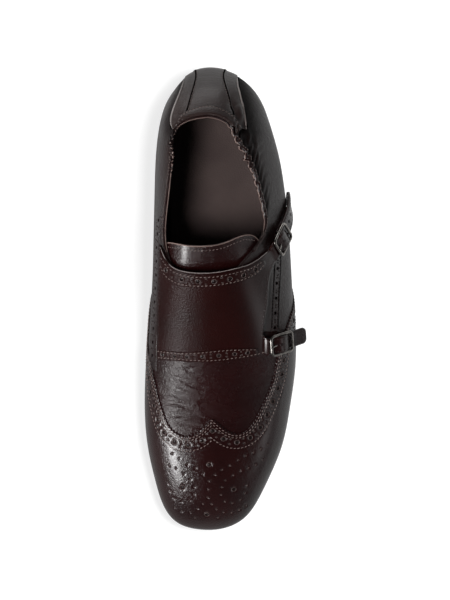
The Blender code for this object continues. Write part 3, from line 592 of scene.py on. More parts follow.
def finder(places, triangles):
    """A finder of flat points' corners in a net, and of each corner's share."""
    corners = places[triangles]
    first, second = corners[:, 1] - corners[:, 0], corners[:, 2] - corners[:, 0]
    triangles = triangles[np.abs(first[:, 0] * second[:, 1] - first[:, 1] * second[:, 0]) > 1e-7]
    tree = BVHTree.FromPolygons([(float(x), float(y), 0.0) for x, y in places], triangles.tolist())

    def find(flat):
        flat = np.asarray(flat, float).reshape(-1, 2)
        hits = [tree.find_nearest((x, y, 0.0)) for x, y in flat.tolist()]
        picked = triangles[[hit[2] for hit in hits]]
        spots = np.array([hit[0][:2] for hit in hits])
        a, b, c = (places[picked[:, k]] for k in range(3))
        ab, ac, ap = b - a, c - a, spots - a
        size = ab[:, 0] * ac[:, 1] - ab[:, 1] * ac[:, 0]
        v = (ap[:, 0] * ac[:, 1] - ap[:, 1] * ac[:, 0]) / size
        w = (ab[:, 0] * ap[:, 1] - ab[:, 1] * ap[:, 0]) / size
        return picked, np.stack([1 - v - w, v, w], axis=1)
    return find


find_on_sheet = finder(sheet_points, net_triangles)
crown_triangles = net_triangles[(net_triangles % ROWS >= WALL_ROWS).all(axis=1)]
find_on_plan = finder(net_points[:, :2].copy(), crown_triangles)


def on_skin(flat):
    """The skin's points and normals for places on the unrolled sheet."""
    flat = np.asarray(flat, float)
    corners, shares = find_on_sheet(flat)
    spots = (net_points[corners] * shares[..., None]).sum(axis=1)
    outward = unit((net_outward[corners] * shares[..., None]).sum(axis=1))
    # Between its corners the skin bulges: each corner's tangent plane says how far.
    gap = ((spots[:, None] - net_points[corners]) * net_outward[corners]).sum(axis=2)
    lifted = spots[:, None] - gap[..., None] * net_outward[corners]
    spots = spots + 0.75 * ((lifted * shares[..., None]).sum(axis=1) - spots)
    return spots.reshape(flat.shape[:-1] + (3,)), outward.reshape(flat.shape[:-1] + (3,))


def sheet_under(plan):
    """The unrolled sheet's places under points of the plan."""
    corners, shares = find_on_plan(plan)
    return (sheet_points[corners] * shares[..., None]).sum(axis=1)


def sheet_at(station, side, height):
    """A place on the wall: height 0 on the sole's seam, 1 on the widest line."""
    column = float(station_to_turn(station)) / math.pi * SECTIONS / 2
    column, row = column if side < 0 else SECTIONS - column, height * WALL_ROWS
    i, j = int(column) % SECTIONS, int(row)
    s, t = column - int(column), row - j
    rows = sheet_net[i, j:j + 2] * (1 - s) + sheet_net[(i + 1) % SECTIONS, j:j + 2] * s
    return rows[0] * (1 - t) + rows[1] * t


def along_sole(side, start, end, count):
    """Places just above the sole's seam on the sheet, between two turns."""
    return [sheet_at(station, side, 0.02)
            for station in turn_to_station(np.linspace(start, end, count))]


# %% Distances measured over the form
def slopes(lay, flat):
    """How the form's point moves with each direction of the flat drawing."""
    step = 0.05
    across, along = np.array([step, 0.0]), np.array([0.0, step])
    return ((lay(flat + across)[0] - lay(flat - across)[0]) / (2 * step),
            (lay(flat + along)[0] - lay(flat - along)[0]) / (2 * step))


def moved(lay, flat, offset):
    """Flat places a short way off, for offsets measured along the form."""
    across, along = slopes(lay, flat)
    aa, bb, ab = (across ** 2).sum(-1), (along ** 2).sum(-1), (across * along).sum(-1)
    oa, ob = (across * offset).sum(-1), (along * offset).sum(-1)
    size = aa * bb - ab ** 2
    ok = size > 0.01            # past the net's own edge there is no slope to measure
    size = np.where(ok, size, 1.0)
    step = np.stack([(oa * bb - ob * ab) / size, (ob * aa - oa * ab) / size], axis=-1)
    return flat + np.where(ok[..., None], step, offset[..., :2])


def beside(lay, path, distance):
    """A flat path moved sideways over the form; the distance may vary along it."""
    path = np.asarray(path, float)
    points, outward = lay(path)
    way = unit(np.gradient(points, axis=0))
    left = np.cross(outward, way)
    return moved(lay, path, left * (np.zeros(len(path)) + distance)[:, None])


def paced(lay, path, step, start=0.0):
    """A flat path as places a step apart over the form."""
    path = np.asarray(path, float)
    way = way_along(lay(path)[0])
    stops = np.arange(start, way[-1] + 1e-6, step)
    return np.stack([np.interp(stops, way, path[:, k]) for k in range(2)], axis=1)


def circle_on(lay, centre, radius, count):
    """A round hole's outline on the flat drawing."""
    centre = np.asarray(centre, float)
    outward = lay(centre[None])[1][0]
    first = unit(np.cross(outward, (0.3, 1.0, 0.2)))
    second = np.cross(outward, first)
    turn = np.linspace(0, 2 * math.pi, count, endpoint=False)[:, None]
    offset = (first * np.cos(turn) + second * np.sin(turn)) * radius
    return moved(lay, np.repeat(centre[None], count, axis=0), offset)


# %% [markdown]
# ## Finishes
#
# The leather is a dark oxblood calf, dyed through and polished. Its colour wanders a little,
# the polish is uneven, and pores and fine wrinkles break up every reflection. All of that is
# noise in the shoe's own space, so no two places repeat. The dye is nearly black; what the eye
# reads as brown comes from the gloss over it.

# %% Nodes in one call
def feed(tree, target, inputs):
    """Set a node's inputs: each is a value, an output, or a node for its first output."""
    for name, value in inputs.items():
        if isinstance(value, bpy.types.Node):
            value = next(output for output in value.outputs if output.enabled)
        if isinstance(value, bpy.types.NodeSocket):
            tree.links.new(value, target.inputs[name])
        elif value is not None:
            target.inputs[name].default_value = value


def node(tree, kind, inputs=None, **settings):
    made = tree.nodes.new(kind)
    for name, value in settings.items():
        setattr(made, name, value)
    feed(tree, made, inputs or {})
    return made


def start_finish(name):
    finish = bpy.data.materials.new(name)
    finish.use_nodes = True
    tree = finish.node_tree
    here = node(tree, "ShaderNodeTexCoord").outputs["Object"]
    return finish, tree, tree.nodes["Principled BSDF"], here


def noise(tree, here, scale, detail, stretch=None):
    """Noise in the shoe's space; scale is the number of blots in a metre."""
    if stretch:
        here = node(tree, "ShaderNodeMapping", {"Vector": here, "Scale": stretch})
    return node(tree, "ShaderNodeTexNoise", {"Vector": here, "Scale": scale, "Detail": detail})


def spread(tree, value, low, high, to_low, to_high, **settings):
    """Stretch a range of a value to another range."""
    return node(tree, "ShaderNodeMapRange", {"Value": value, "From Min": low, "From Max": high,
        "To Min": to_low, "To Max": to_high}, **settings)


def blend_colours(tree, share, first, second):
    """Mix two colours; each is three numbers or another node."""
    ends = [(*end, 1.0) if isinstance(end, tuple) else end for end in (first, second)]
    return node(tree, "ShaderNodeMix", {"Factor": share, "A": ends[0], "B": ends[1]}, data_type="RGBA")


def raise_surface(tree, height, depth, before=None):
    """A bump node: depth is in metres."""
    return node(tree, "ShaderNodeBump",
                {"Strength": 1.0, "Distance": depth, "Height": height, "Normal": before})


# %% Leather
def leather(name, colour, deep, roughness, grain, wrinkle=0.0, coat=0.25, coat_roughness=0.2,
            specular=0.5, hollows=False, outer_coat=None):
    """Polished hide: wandering dye, uneven polish, pores, wrinkles if asked, and painted shade from a
    stored mask if asked.
    """
    finish, tree, shader, here = start_finish(name)
    dye = spread(tree, noise(tree, here, 38, 4), 0.32, 0.68, 0, 1)
    hue, polish = blend_colours(tree, dye, colour, deep), coat
    rough = spread(tree, noise(tree, here, 90, 5), 0.3, 0.7, roughness - 0.02, roughness + 0.04)
    if hollows:
        # Painted shade: where the stored mask is high, in folds, beside ridges and under the collar,
        # the colour is darkened nearly to black, the leather made rougher and its coat taken away.
        shade_attribute = node(tree, "ShaderNodeAttribute", attribute_name="painted_shade").outputs["Fac"]
        hue = blend_colours(tree, shade_attribute, hue, (0.0022, 0.0011, 0.001))
        rough = spread(tree, shade_attribute, 0, 1, rough, 0.9)
        polish = spread(tree, shade_attribute, 0, 0.7, coat, 0.0)
    if outer_coat:
        # More polish on the outer side, where a brush presses hardest.
        split = node(tree, "ShaderNodeSeparateXYZ", {"Vector": here})
        polish = spread(tree, split.outputs["X"], 0.006, 0.022, coat, outer_coat)
    cells = node(tree, "ShaderNodeTexVoronoi",
                 {"Vector": here, "Scale": 1250, "Smoothness": 0.35}, feature="SMOOTH_F1")
    surface = raise_surface(tree, cells, 0.00014 * grain)
    surface = raise_surface(tree, noise(tree, here, 2100, 3), 0.00004 * grain, surface)
    if wrinkle:
        # Long fine wrinkles lie across the shoe, where it bends.
        surface = raise_surface(tree, noise(tree, here, 300, 4, (0.45, 1.7, 1.2)), 0.0005 * wrinkle,
            surface)
    surface = raise_surface(tree, noise(tree, here, 120, 3), 0.00006, surface)
    feed(tree, shader, {"Base Color": hue, "Roughness": rough, "Normal": surface,
        "Specular IOR Level": specular, "Coat Weight": polish, "Coat Roughness": coat_roughness})
    return finish


cap_calf = leather("toe_cap_calf", (0.0125, 0.0022, 0.0021), (0.008, 0.0015, 0.0015), 0.2, 1.3,
    specular=0.55, coat=0.5, coat_roughness=0.12)
tongue_calf = leather("tongue_calf", (0.0125, 0.0022, 0.0021), (0.008, 0.0015, 0.0015), 0.26, 1.9,
    specular=0.5, coat=0.55, coat_roughness=0.18)
flap_calf = leather("flap_calf", (0.013, 0.0026, 0.0023), (0.009, 0.0019, 0.0017), 0.32, 1.4, coat=0.03,
    specular=0.17, outer_coat=0.75)
vamp_calf = leather("vamp_calf", (0.0125, 0.0022, 0.0022), (0.008, 0.0016, 0.0016), 0.26, 1.6,
    wrinkle=1.1, specular=0.42, coat=0.15, coat_roughness=0.3)
# The quarter's finish takes painted shade from the mask stored on the skin.
quarter_calf = leather("quarter_calf", (0.013, 0.005, 0.0046), (0.0075, 0.0032, 0.003), 0.3, 1.5,
    wrinkle=0.6, specular=0.4, coat=0.2, hollows=True)
trim_calf = leather("trim_calf", (0.012, 0.0036, 0.0033), (0.007, 0.0024, 0.0023), 0.32, 0.9)
edge_tan = leather("raw_edge_tan", (0.25, 0.18, 0.16), (0.09, 0.06, 0.052), 0.5, 1.0, coat=0.0)
lining_hide = leather("lining_hide", (0.024, 0.0175, 0.0165), (0.015, 0.011, 0.0105), 0.62, 1.2,
    coat=0.0)
sock_hide = leather("sock_hide", (0.078, 0.058, 0.054), (0.06, 0.044, 0.042), 0.66, 0.9, coat=0.0,
    specular=0.3)
heel_calf = leather("heel_calf", (0.029, 0.0185, 0.017), (0.018, 0.0105, 0.0095), 0.34, 1.1,
    wrinkle=0.5)
# Far lighter than the calf round it: a painted highlight on the heel's ridges and the flap's top rim.
ridge_highlight_calf = leather("folded_edge_painted_highlight", (0.33, 0.3, 0.29), (0.16, 0.135, 0.128), 0.3, 0.8, coat=0.4)
# Near-black: dark seam grooves, and painted shadow beside the counter's edges, by the flap's edge and
# the facing's band, and in the facing's holes.
seam_and_shadow_dark = leather("dark_seam_and_painted_shadow", (0.002, 0.0011, 0.001), (0.0012, 0.0008, 0.0008), 0.8, 1.0,
    coat=0.0, specular=0.02)
# Much lighter than the calf: painted glints on the pressed lips round the holes.
lip_glint_calf = leather("punched_lip_painted_glint", (0.085, 0.06, 0.056), (0.05, 0.034, 0.031), 0.26, 0.6, coat=0.35)
well_calf = leather("hole_backing", (0.0085, 0.0026, 0.0026), (0.005, 0.0018, 0.0018), 0.3, 0.6)
sole_hide = leather("sole_edge_ink", (0.0085, 0.0052, 0.0045), (0.0055, 0.0035, 0.0032), 0.42, 0.9)


# %% Thread, metal and rubber
def plain_finish(name, colour, deep, blots, bump, uneven=None, **sockets):
    """Colours that wander with noise, a fine bump, and the shader's own numbers."""
    finish, tree, shader, here = start_finish(name)
    share = spread(tree, noise(tree, here, *blots[:2]), *blots[2:], 0, 1)
    height = noise(tree, here, *bump[:-1]) if bump[:-1] else share
    if uneven:
        sockets["Roughness"] = spread(tree, noise(tree, here, *uneven[:2]), 0.3, 0.7, *uneven[2:])
    feed(tree, shader, {"Base Color": blend_colours(tree, share, colour, deep),
        "Normal": raise_surface(tree, height, bump[-1]), **sockets})
    return finish


def waxed_thread(name, colour, roughness):
    return plain_finish(name, colour, tuple(0.5 * value for value in colour), (2600, 2, 0.3, 0.7),
        (0.00008,), **{"Roughness": roughness, "Coat Weight": 0.3, "Coat Roughness": 0.25})


thread = waxed_thread("brown_thread", (0.185, 0.14, 0.128), 0.3)
dark_thread = waxed_thread("dark_thread", (0.03, 0.017, 0.015), 0.36)
nickel = plain_finish("dark_nickel", (0.4, 0.375, 0.35), (0.18, 0.16875, 0.1575), (420, 4, 0.35, 0.7),
    (1500, 2, 0.00003), (900, 3, 0.13, 0.27), Metallic=1.0)
rubber = plain_finish("heel_rubber", (0.006, 0.006, 0.006), (0.016, 0.015, 0.014), (240, 5, 0.4, 0.7),
    (1400, 4, 0.00012), Roughness=0.68)
print("finishes:", sorted(material.name for material in bpy.data.materials if material.use_nodes))

# %% [markdown]
# ## Pieces cut from a sheet
#
# A clicker cuts each overlaid piece from a skin and punches it. Here an outline and its holes
# bound a triangulation, filled with a fine lattice of points. Each point is laid on the form and
# raised by the leather's thickness; the cut edge is a little lower than the middle, and a row of
# stitches pulls a shallow channel.

# %% Cutting a piece
def even_odd(points, ring):
    """Which flat points lie inside a closed ring."""
    inside = np.zeros(len(points), bool)
    x, y = points[:, 0], points[:, 1]
    for (x1, y1), (x2, y2) in zip(ring, np.roll(ring, -1, axis=0)):
        if y1 != y2:
            crosses = (y1 > y) != (y2 > y)
            inside ^= crosses & (x < (x2 - x1) * (y - y1) / (y2 - y1) + x1)
    return inside


def far_from(points, others, reach):
    """Which points keep a reach away from all the others."""
    from_cell = {}
    for k, (i, j) in enumerate(np.floor(others / reach).astype(int).tolist()):
        from_cell.setdefault((i, j), []).append(k)
    keep = np.ones(len(points), bool)
    for k, (i, j) in enumerate(np.floor(points / reach).astype(int).tolist()):
        near = [m for a in (-1, 0, 1) for b in (-1, 0, 1) for m in from_cell.get((i + a, j + b), ())]
        if near:
            gap = others[near] - points[k]
            keep[k] = (gap * gap).sum(axis=1).min() > reach * reach
    return keep


def cut_piece(name, lay, outline, finish, thickness, base=0.02, holes=(), rows=(), spacing=1.2,
              bevel=0.32, channel=0.14):
    """Leather cut to an outline with round holes, and laid on a form."""
    rings = [np.asarray(outline, float)]
    rings += [circle_on(lay, *hole, 8 if hole[1] < 0.8 else 14) for hole in holes]
    borders = np.concatenate(rings)
    low, high = rings[0].min(axis=0), rings[0].max(axis=0)
    lattice = np.stack(np.meshgrid(np.arange(low[0], high[0], spacing),
        np.arange(low[1], high[1], spacing * 0.866), indexing="ij"), axis=-1)
    lattice[:, 1::2, 0] += spacing / 2
    lattice = lattice.reshape(-1, 2)
    # Besides the lattice: a line inside each border, three along each row, with their drops.
    lines = []
    for ring in rings:
        after, way = np.roll(ring, -1, axis=0), ring_way(ring)
        area = (ring[:, 0] * after[:, 1] - ring[:, 1] * after[:, 0]).sum()
        inward = (1 if area > 0 else -1) * (1 if ring is rings[0] else -1)
        lines.append((ring + np.stack([-way[:, 1], way[:, 0]], axis=1) * bevel * inward, 0.0))
    for row in rows:
        row = paced(lay, row, 0.8)
        lines += [(row, channel), (beside(lay, row, 0.55), 0.0), (beside(lay, row, -0.55), 0.0)]
    free = np.concatenate([np.column_stack([line, np.full(len(line), drop)]) for line, drop in lines])
    free = free[far_from(free[:, :2], borders, bevel * 0.72)]
    # Points that crowd each other are thinned, in a fixed order.
    cells = np.floor(free[:, :2] / 0.3).astype(int)
    free = free[np.sort(np.unique(cells, axis=0, return_index=True)[1])]
    lattice = lattice[far_from(lattice, np.concatenate([borders, free[:, :2]]), spacing * 0.55)]
    inner = np.concatenate([free, np.column_stack([lattice, np.zeros(len(lattice))])])
    inside = even_odd(inner, rings[0])
    for ring in rings[1:]:
        near = np.linalg.norm(inner[:, :2] - ring.mean(axis=0), axis=1) < 6
        inside[near] &= ~even_odd(inner[near], ring)
    flat = np.concatenate([np.column_stack([borders, np.full(len(borders), -1.0)]), inner[inside]])
    stops = np.cumsum([0] + [len(ring) for ring in rings]).tolist()
    verts, _, faces, origins, _, _ = delaunay_2d_cdt(
        [Vector(point) for point in flat[:, :2].tolist()], [],
        [list(range(*loop)) for loop in zip(stops, stops[1:])], 2, 1e-6)
    drops = np.array([flat[found[0], 2] if found else 0.0 for found in origins])
    points, outward = lay(np.array([tuple(point) for point in verts]))
    lift = np.where(drops < 0, base + (thickness - base) * 0.55, thickness - np.maximum(drops, 0))
    count, faces = len(points), [tuple(face) for face in faces]
    solid = faces + [tuple(count + k for k in reversed(face)) for face in faces]
    solid += [(end, begin, count + begin, count + end) for begin, end in open_edges(faces)]
    points = np.concatenate([points + outward * lift[:, None], points + outward * base])
    return place(make_piece(name, points, solid, finish), "leather")


def gimped(lay, path, pitch=2.3, depth=0.75):
    """A path whose edge is pinked into small rounded teeth."""
    places = paced(lay, path, pitch / 6)
    teeth = depth * np.abs(np.sin(np.pi * np.arange(len(places)) / 6)) ** 0.7
    return beside(lay, places, teeth)


# %% [markdown]
# ## Stitches and punched holes
#
# Thousands of stitches and hundreds of holes are all alike, so Geometry Nodes place them. A row
# of stitches is a curve that stores the leather's outward direction: the tree resamples it at
# the stitch length and lays a small capsule at each point, turned along the row. Each hole gets
# a pressed lip and a dark backing behind the leather.

# %% What both trees share
def growing_tree(name, source, sizes, result):
    """A tree with a geometry input, named sizes and a finish, and those inputs."""
    tree = bpy.data.node_groups.new(name, "GeometryNodeTree")
    for label, kind, value in ((source, "Geometry", None), *sizes, ("Finish", "Material", None)):
        socket = tree.interface.new_socket(label, in_out="INPUT", socket_type="NodeSocket" + kind)
        if value is not None:
            socket.default_value = value
    tree.interface.new_socket(result, in_out="OUTPUT", socket_type="NodeSocketGeometry")
    return tree, node(tree, "NodeGroupInput").outputs


def stored(tree, name, kind="FLOAT_VECTOR"):
    return node(tree, "GeometryNodeInputNamedAttribute", {"Name": name}, data_type=kind)


def made_real(tree, instances, finish, result):
    """The end of each tree: real meshes in place of instances, with their finish."""
    real = node(tree, "GeometryNodeRealizeInstances", {"Geometry": instances})
    dressed = node(tree, "GeometryNodeSetMaterial", {"Geometry": real, "Material": finish})
    node(tree, "NodeGroupOutput", {result: dressed})
    return tree


# %% The tree that sews
def sewing_tree():
    tree, given = growing_tree("sewing", "Rows", (
        ("Pitch", "Float", 0.002), ("Stitch length", "Float", 0.0015),
        ("Thickness", "Float", 0.0005), ("Slant", "Float", 0.0)), "Stitches")
    curve = node(tree, "GeometryNodeMeshToCurve", {"Mesh": given["Rows"]})
    stops = node(tree, "GeometryNodeResampleCurve", {"Curve": curve, "Length": given["Pitch"]},
                 mode="LENGTH")
    ball = node(tree, "GeometryNodeMeshUVSphere", {"Segments": 6, "Rings": 5, "Radius": 0.5})
    smooth = node(tree, "GeometryNodeSetShadeSmooth", {"Geometry": ball})
    size = node(tree, "ShaderNodeCombineXYZ", {
        "X": given["Stitch length"], "Y": given["Thickness"], "Z": given["Thickness"]})
    slant = node(tree, "ShaderNodeCombineXYZ", {"Z": given["Slant"]})
    stitch = node(tree, "GeometryNodeTransform", {"Geometry": smooth, "Scale": size, "Rotation": slant})
    turn = node(tree, "FunctionNodeAxesToRotation",
        {"Primary Axis": node(tree, "GeometryNodeInputTangent"),
        "Secondary Axis": stored(tree, "outward")}, primary_axis="X", secondary_axis="Z")
    laid = node(tree, "GeometryNodeInstanceOnPoints",
                {"Points": stops, "Instance": stitch, "Rotation": turn})
    return made_real(tree, laid, given["Finish"], "Stitches")


# %% The tree that sets lips and backings at holes
def punching_tree():
    tree, given = growing_tree("punching", "Holes", (
        ("Lip", "Float", 0.2), ("Backing", "Bool", False)), "Rings")
    circle = node(tree, "GeometryNodeCurvePrimitiveCircle", {"Resolution": 14, "Radius": 1.0})
    profile = node(tree, "GeometryNodeCurvePrimitiveCircle", {"Resolution": 5, "Radius": given["Lip"]})
    ring = node(tree, "GeometryNodeCurveToMesh", {"Curve": circle, "Profile Curve": profile})
    disc = node(tree, "GeometryNodeMeshCylinder", {"Vertices": 12, "Radius": 1.05, "Depth": 0.12})
    choose = node(tree, "GeometryNodeSwitch", {"Switch": given["Backing"], "False": ring, "True": disc},
                  input_type="GEOMETRY")
    smooth = node(tree, "GeometryNodeSetShadeSmooth", {"Geometry": choose})
    turn = node(tree, "FunctionNodeAxesToRotation",
        {"Primary Axis": stored(tree, "outward"), "Secondary Axis": (0.3, 1.0, 0.2)}, primary_axis="Z",
        secondary_axis="X")
    points = node(tree, "GeometryNodeMeshToPoints", {"Mesh": given["Holes"]})
    set_in = node(tree, "GeometryNodeInstanceOnPoints",
        {"Points": points, "Instance": smooth, "Rotation": turn,
        "Scale": stored(tree, "hole_radius", "FLOAT")})
    return made_real(tree, set_in, given["Finish"], "Rings")


# %% Running a tree once and keeping its mesh
def grown(name, source, tree, **values):
    """Evaluate a node tree on an object and keep the result as a plain mesh piece."""
    modifier = source.modifiers.new("growing", "NODES")
    modifier.node_group = tree
    for item in tree.interface.items_tree:
        if item.item_type == "SOCKET" and item.in_out == "INPUT" and item.name in values:
            modifier[item.identifier] = values[item.name]
    ready = source.evaluated_get(bpy.context.evaluated_depsgraph_get())
    mesh = bpy.data.meshes.new_from_object(ready)
    source.modifiers.remove(modifier)
    spare = source.data
    bpy.data.objects.remove(source)
    bpy.data.meshes.remove(spare)
    mesh.name = name
    return added(name, mesh)


def carrier(points, outward, edges, radii=None):
    """A bare mesh that carries places, outward directions and radii to a node tree."""
    mesh = bpy.data.meshes.new("carrier")
    mesh.from_pydata(to_world(points).tolist(), edges, [])
    turned = np.stack([outward[:, 0], -outward[:, 1], outward[:, 2]], axis=1)
    store = mesh.attributes.new("outward", "FLOAT_VECTOR", "POINT")
    store.data.foreach_set("vector", turned.astype(np.float32).ravel())
    if radii is not None:
        store = mesh.attributes.new("hole_radius", "FLOAT", "POINT")
        store.data.foreach_set("value", (np.asarray(radii) * MM).astype(np.float32))
    return added("carrier", mesh)


SEWING, PUNCHING = sewing_tree(), punching_tree()
PITCH, STITCH, THICK, SLANT = 2.45, 1.75, 0.66, 0.22      # spacing, length, thread, lean


def sew(name, rows, finish=thread, pitch=PITCH, length=STITCH, thick=THICK):
    """Rows of stitches: each row is a pair of points and outward directions."""
    points, outward = (np.concatenate(part) for part in zip(*rows))
    edges, start = [], 0
    for row in rows:
        edges += [(start + k, start + k + 1) for k in range(len(row[0]) - 1)]
        start += len(row[0])
    made = grown(name, carrier(points, outward, edges), SEWING,
        **{"Pitch": pitch * MM, "Stitch length": length * MM, "Thickness": thick * MM, "Slant": SLANT,
        "Finish": finish})
    return place(made, "leather")


def row_on(lay, path, lift):
    """A row of stitches over a form, at a height above it."""
    points, outward = lay(paced(lay, path, 0.7))
    return points + outward * lift, outward


# By default each lip is in the light lip finish: a painted glint round the hole.
def dress_holes(name, lay, holes, lift, floor=0.06, lip=lip_glint_calf, back=well_calf):
    """A lip round each hole and a backing behind it. Small holes get a thicker lip."""
    centres = np.array([centre for centre, _ in holes], float)
    radii = np.array([radius for _, radius in holes], float)
    points, outward = lay(centres)
    for part, picks, share, sunk in (("_lips", radii > 0.8, 0.16, 0.07),
            ("_small_lips", radii <= 0.8, 0.36, 0.02)):
        if picks.any():
            ring_points = points[picks] + outward[picks] * (lift - sunk)
            place(grown(name + part, carrier(ring_points, outward[picks], [], radii[picks]),
                        PUNCHING, Lip=share, Backing=False, Finish=lip), "leather")
    backs = grown(name + "_backs", carrier(points + outward * floor, outward, [], radii),
                  PUNCHING, Backing=True, Finish=back)
    return place(backs, "leather")


# %% [markdown]
# ## The upper leather and its lining
#
# The visible quarters and vamp are one closed skin over the net, a little more than a
# millimetre thick. The lining is a second skin inside it, seen through the opening. The two
# share the cut edge at the collar, which is folded over and finished with a narrow bead.

# %% Skin and lining
def skin_piece(name, section_step, row_step, outside, inside, finish):
    rows = np.unique(np.append(np.arange(0, ROWS, row_step), ROWS - 1))
    part, way = net[::section_step][:, rows], normals[::section_step][:, rows]
    outer = (part + way * outside).reshape(-1, 3)
    inner = (part + way * inside).reshape(-1, 3)
    first, same = shared_spots(outer, 0.02)
    faces = joined_faces(grid_faces(*part.shape[:2], closed=True), same)
    return sheet_piece(name, outer[first], inner[first], faces, finish, roll=0.15)


VAMP_START = 184.0      # the vamp is a smoother, glossier hide; its rear edge is under the flap
upper = skin_piece("upper_leather", 1, 1, 0.0, -1.1, quarter_calf)
place(upper, "leather", "upper")
upper.data.materials.append(vamp_calf)
vamp_end = float(to_world(np.array([[0.0, VAMP_START, 0.0]]))[0, 1])
for face in upper.data.polygons:
    face.material_index = int(face.center.y < vamp_end)
place(skin_piece("upper_lining", 3, 2, -1.15, -2.0, lining_hide), "lining")


# %% Sweeping a small profile along a path
def swept(name, centres, first, second, profile, finish):
    """A closed solid: a flat profile carried along a path on two directions."""
    profile = np.asarray(profile, float)
    points = (centres[:, None] + first[:, None] * profile[None, :, :1]
              + second[:, None] * profile[None, :, 1:])
    return make_piece(name, points.reshape(-1, 3), tube_faces(len(centres), len(profile)), finish)


def oval(half_first, half_second, count=10):
    turn = np.linspace(0, 2 * math.pi, count, endpoint=False)
    return np.stack([half_first * np.cos(turn), half_second * np.sin(turn)], axis=1)


def seam_line(name, lay, path, lift, half_width, half_height=0.07, finish=seam_and_shadow_dark):
    """A thin line laid on a form: by default near-black, for a dark seam or a painted shadow; otherwise
    a rim in its own finish.
    """
    points, outward = lay(paced(lay, path, 0.9))
    across = unit(np.cross(outward, unit(np.gradient(points, axis=0))))
    return place(swept(name, points + outward * lift, outward, across, oval(half_height, half_width, 8),
        finish), "leather")


# %% The collar's edge
share = turns / math.pi
on_collar = share <= COLLAR_SHARE
inner_part = [k for k in range(SECTIONS // 2) if on_collar[k] and ends[k, 1] < 119][::-1]
outer_part = [k for k in range(SECTIONS - 1, SECTIONS // 2, -1) if on_collar[k] and ends[k, 1] < 116]
collar_order = np.array(inner_part + outer_part)
edge, edge_out = net[collar_order, -1], normals[collar_order, -1]
edge_in = unit(net[collar_order, -1] - net[collar_order, -3])
place(swept("collar_bead", edge - edge_out + edge_in * 0.05, edge_out, edge_in,
            oval(1.12, 0.62), trim_calf), "leather")
place(swept("collar_cut_edge", edge - edge_out * 1.25 + edge_in * 0.62, edge_out, edge_in,
            oval(0.34, 0.26, 8), edge_tan), "lining")

# %% [markdown]
# ## The wing cap
#
# The toe cap is a wing: its pinked edge runs from a peak on the vamp down both sides to the
# sole. A band of big holes with pairs of small ones between follows it between rows of stitches,
# and a medallion of holes fills the toe, as is traditional. The cap is a real overlay, so its
# edge throws a thin shadow.

# %% The wing's edge
PEAK = (1.2, 227.1)
WING_INNER = (PEAK, (-3.3, 231.4), (-8.4, 236.2), (-16.2, 238.5), (-22.7, 236.1), (-27.1, 231.6),
              (-30.8, 222.4), (-34, 212.3), (-35.9, 203.6), (-37.6, 195.5), (-39, 188.5))
WING_INNER_WALL = ((176, 0.985), (167, 0.96), (158, 0.88), (149, 0.7), (141, 0.42), (134, 0.02))
WING_OUTER = (PEAK, (7.5, 233), (15.5, 236.8), (24.2, 233.8), (30, 226), (35.2, 215.2), (39.4, 205),
              (41.8, 195.3), (43.2, 186.4), (46, 177), (49.4, 167.5), (52.6, 158.5))
WING_OUTER_WALL = ((149, 0.97), (143, 0.8), (138, 0.52), (134, 0.26), (130, 0.02))


def with_wall(plan, wall, side, count=120):
    """A line on the sheet, under places on the plan and then down the wall."""
    low = [sheet_at(station, side, height) for station, height in wall]
    return smooth_path(np.concatenate([sheet_under(plan), low]), count)


inner_edge = with_wall(WING_INNER, WING_INNER_WALL, -1, 500)
outer_edge = with_wall(WING_OUTER, WING_OUTER_WALL, 1, 500)
inner_teeth, outer_teeth = (gimped(on_skin, edge, depth=depth)
    for edge, depth in ((inner_edge, 0.9), (outer_edge, -0.9)))
sole_line = (along_sole(-1, station_to_turn(136), math.pi - 0.01, 120)
             + along_sole(1, math.pi - 0.01, station_to_turn(132), 120))
wing_outline = np.concatenate([inner_teeth, sole_line, outer_teeth[:0:-1]])
print("wing edge:", len(inner_teeth), "and", len(outer_teeth), "points")

# %% Rows and holes of the wing's band
BAND_MIDDLE, BAND_FOOT, HOLE_STEP = 5.2, 9.2, 9.3
BIG, SMALL = 1.55, 0.5


def band_holes(lay, path, step=HOLE_STEP, start=0.0, big=BIG, small=SMALL, apart=1.6):
    """Big holes along a path, with a pair of small ones between neighbours."""
    bigs = paced(lay, path, step, start)
    middles = paced(lay, path, step, start + step / 2 if start < step / 2 else start - step / 2)
    holes = [(centre, big) for centre in bigs]
    for side in (-apart, apart) if len(middles) > 2 else ():
        holes += [(centre, small) for centre in beside(lay, middles, side)]
    return holes


# The toe lies to the right of the inner half's way (sign -1) and to the left of the outer's.
row_paths = []
wing_holes = [(sheet_under((1.0, 234.4))[0], BIG)]
for edge_path, sign, start in ((inner_edge, -1, 14.6), (outer_edge, 1, 14.1)):
    for distance in (0.85, 2.35, BAND_FOOT):
        row = beside(on_skin, edge_path, sign * distance)
        keep = (row[:, 0] - PEAK[0] + 1.1) * sign > 0
        row_paths.append(row[np.argmax(keep):-4])
    wing_holes += band_holes(on_skin, beside(on_skin, edge_path, sign * BAND_MIDDLE), start=start)
print("band holes:", len(wing_holes))

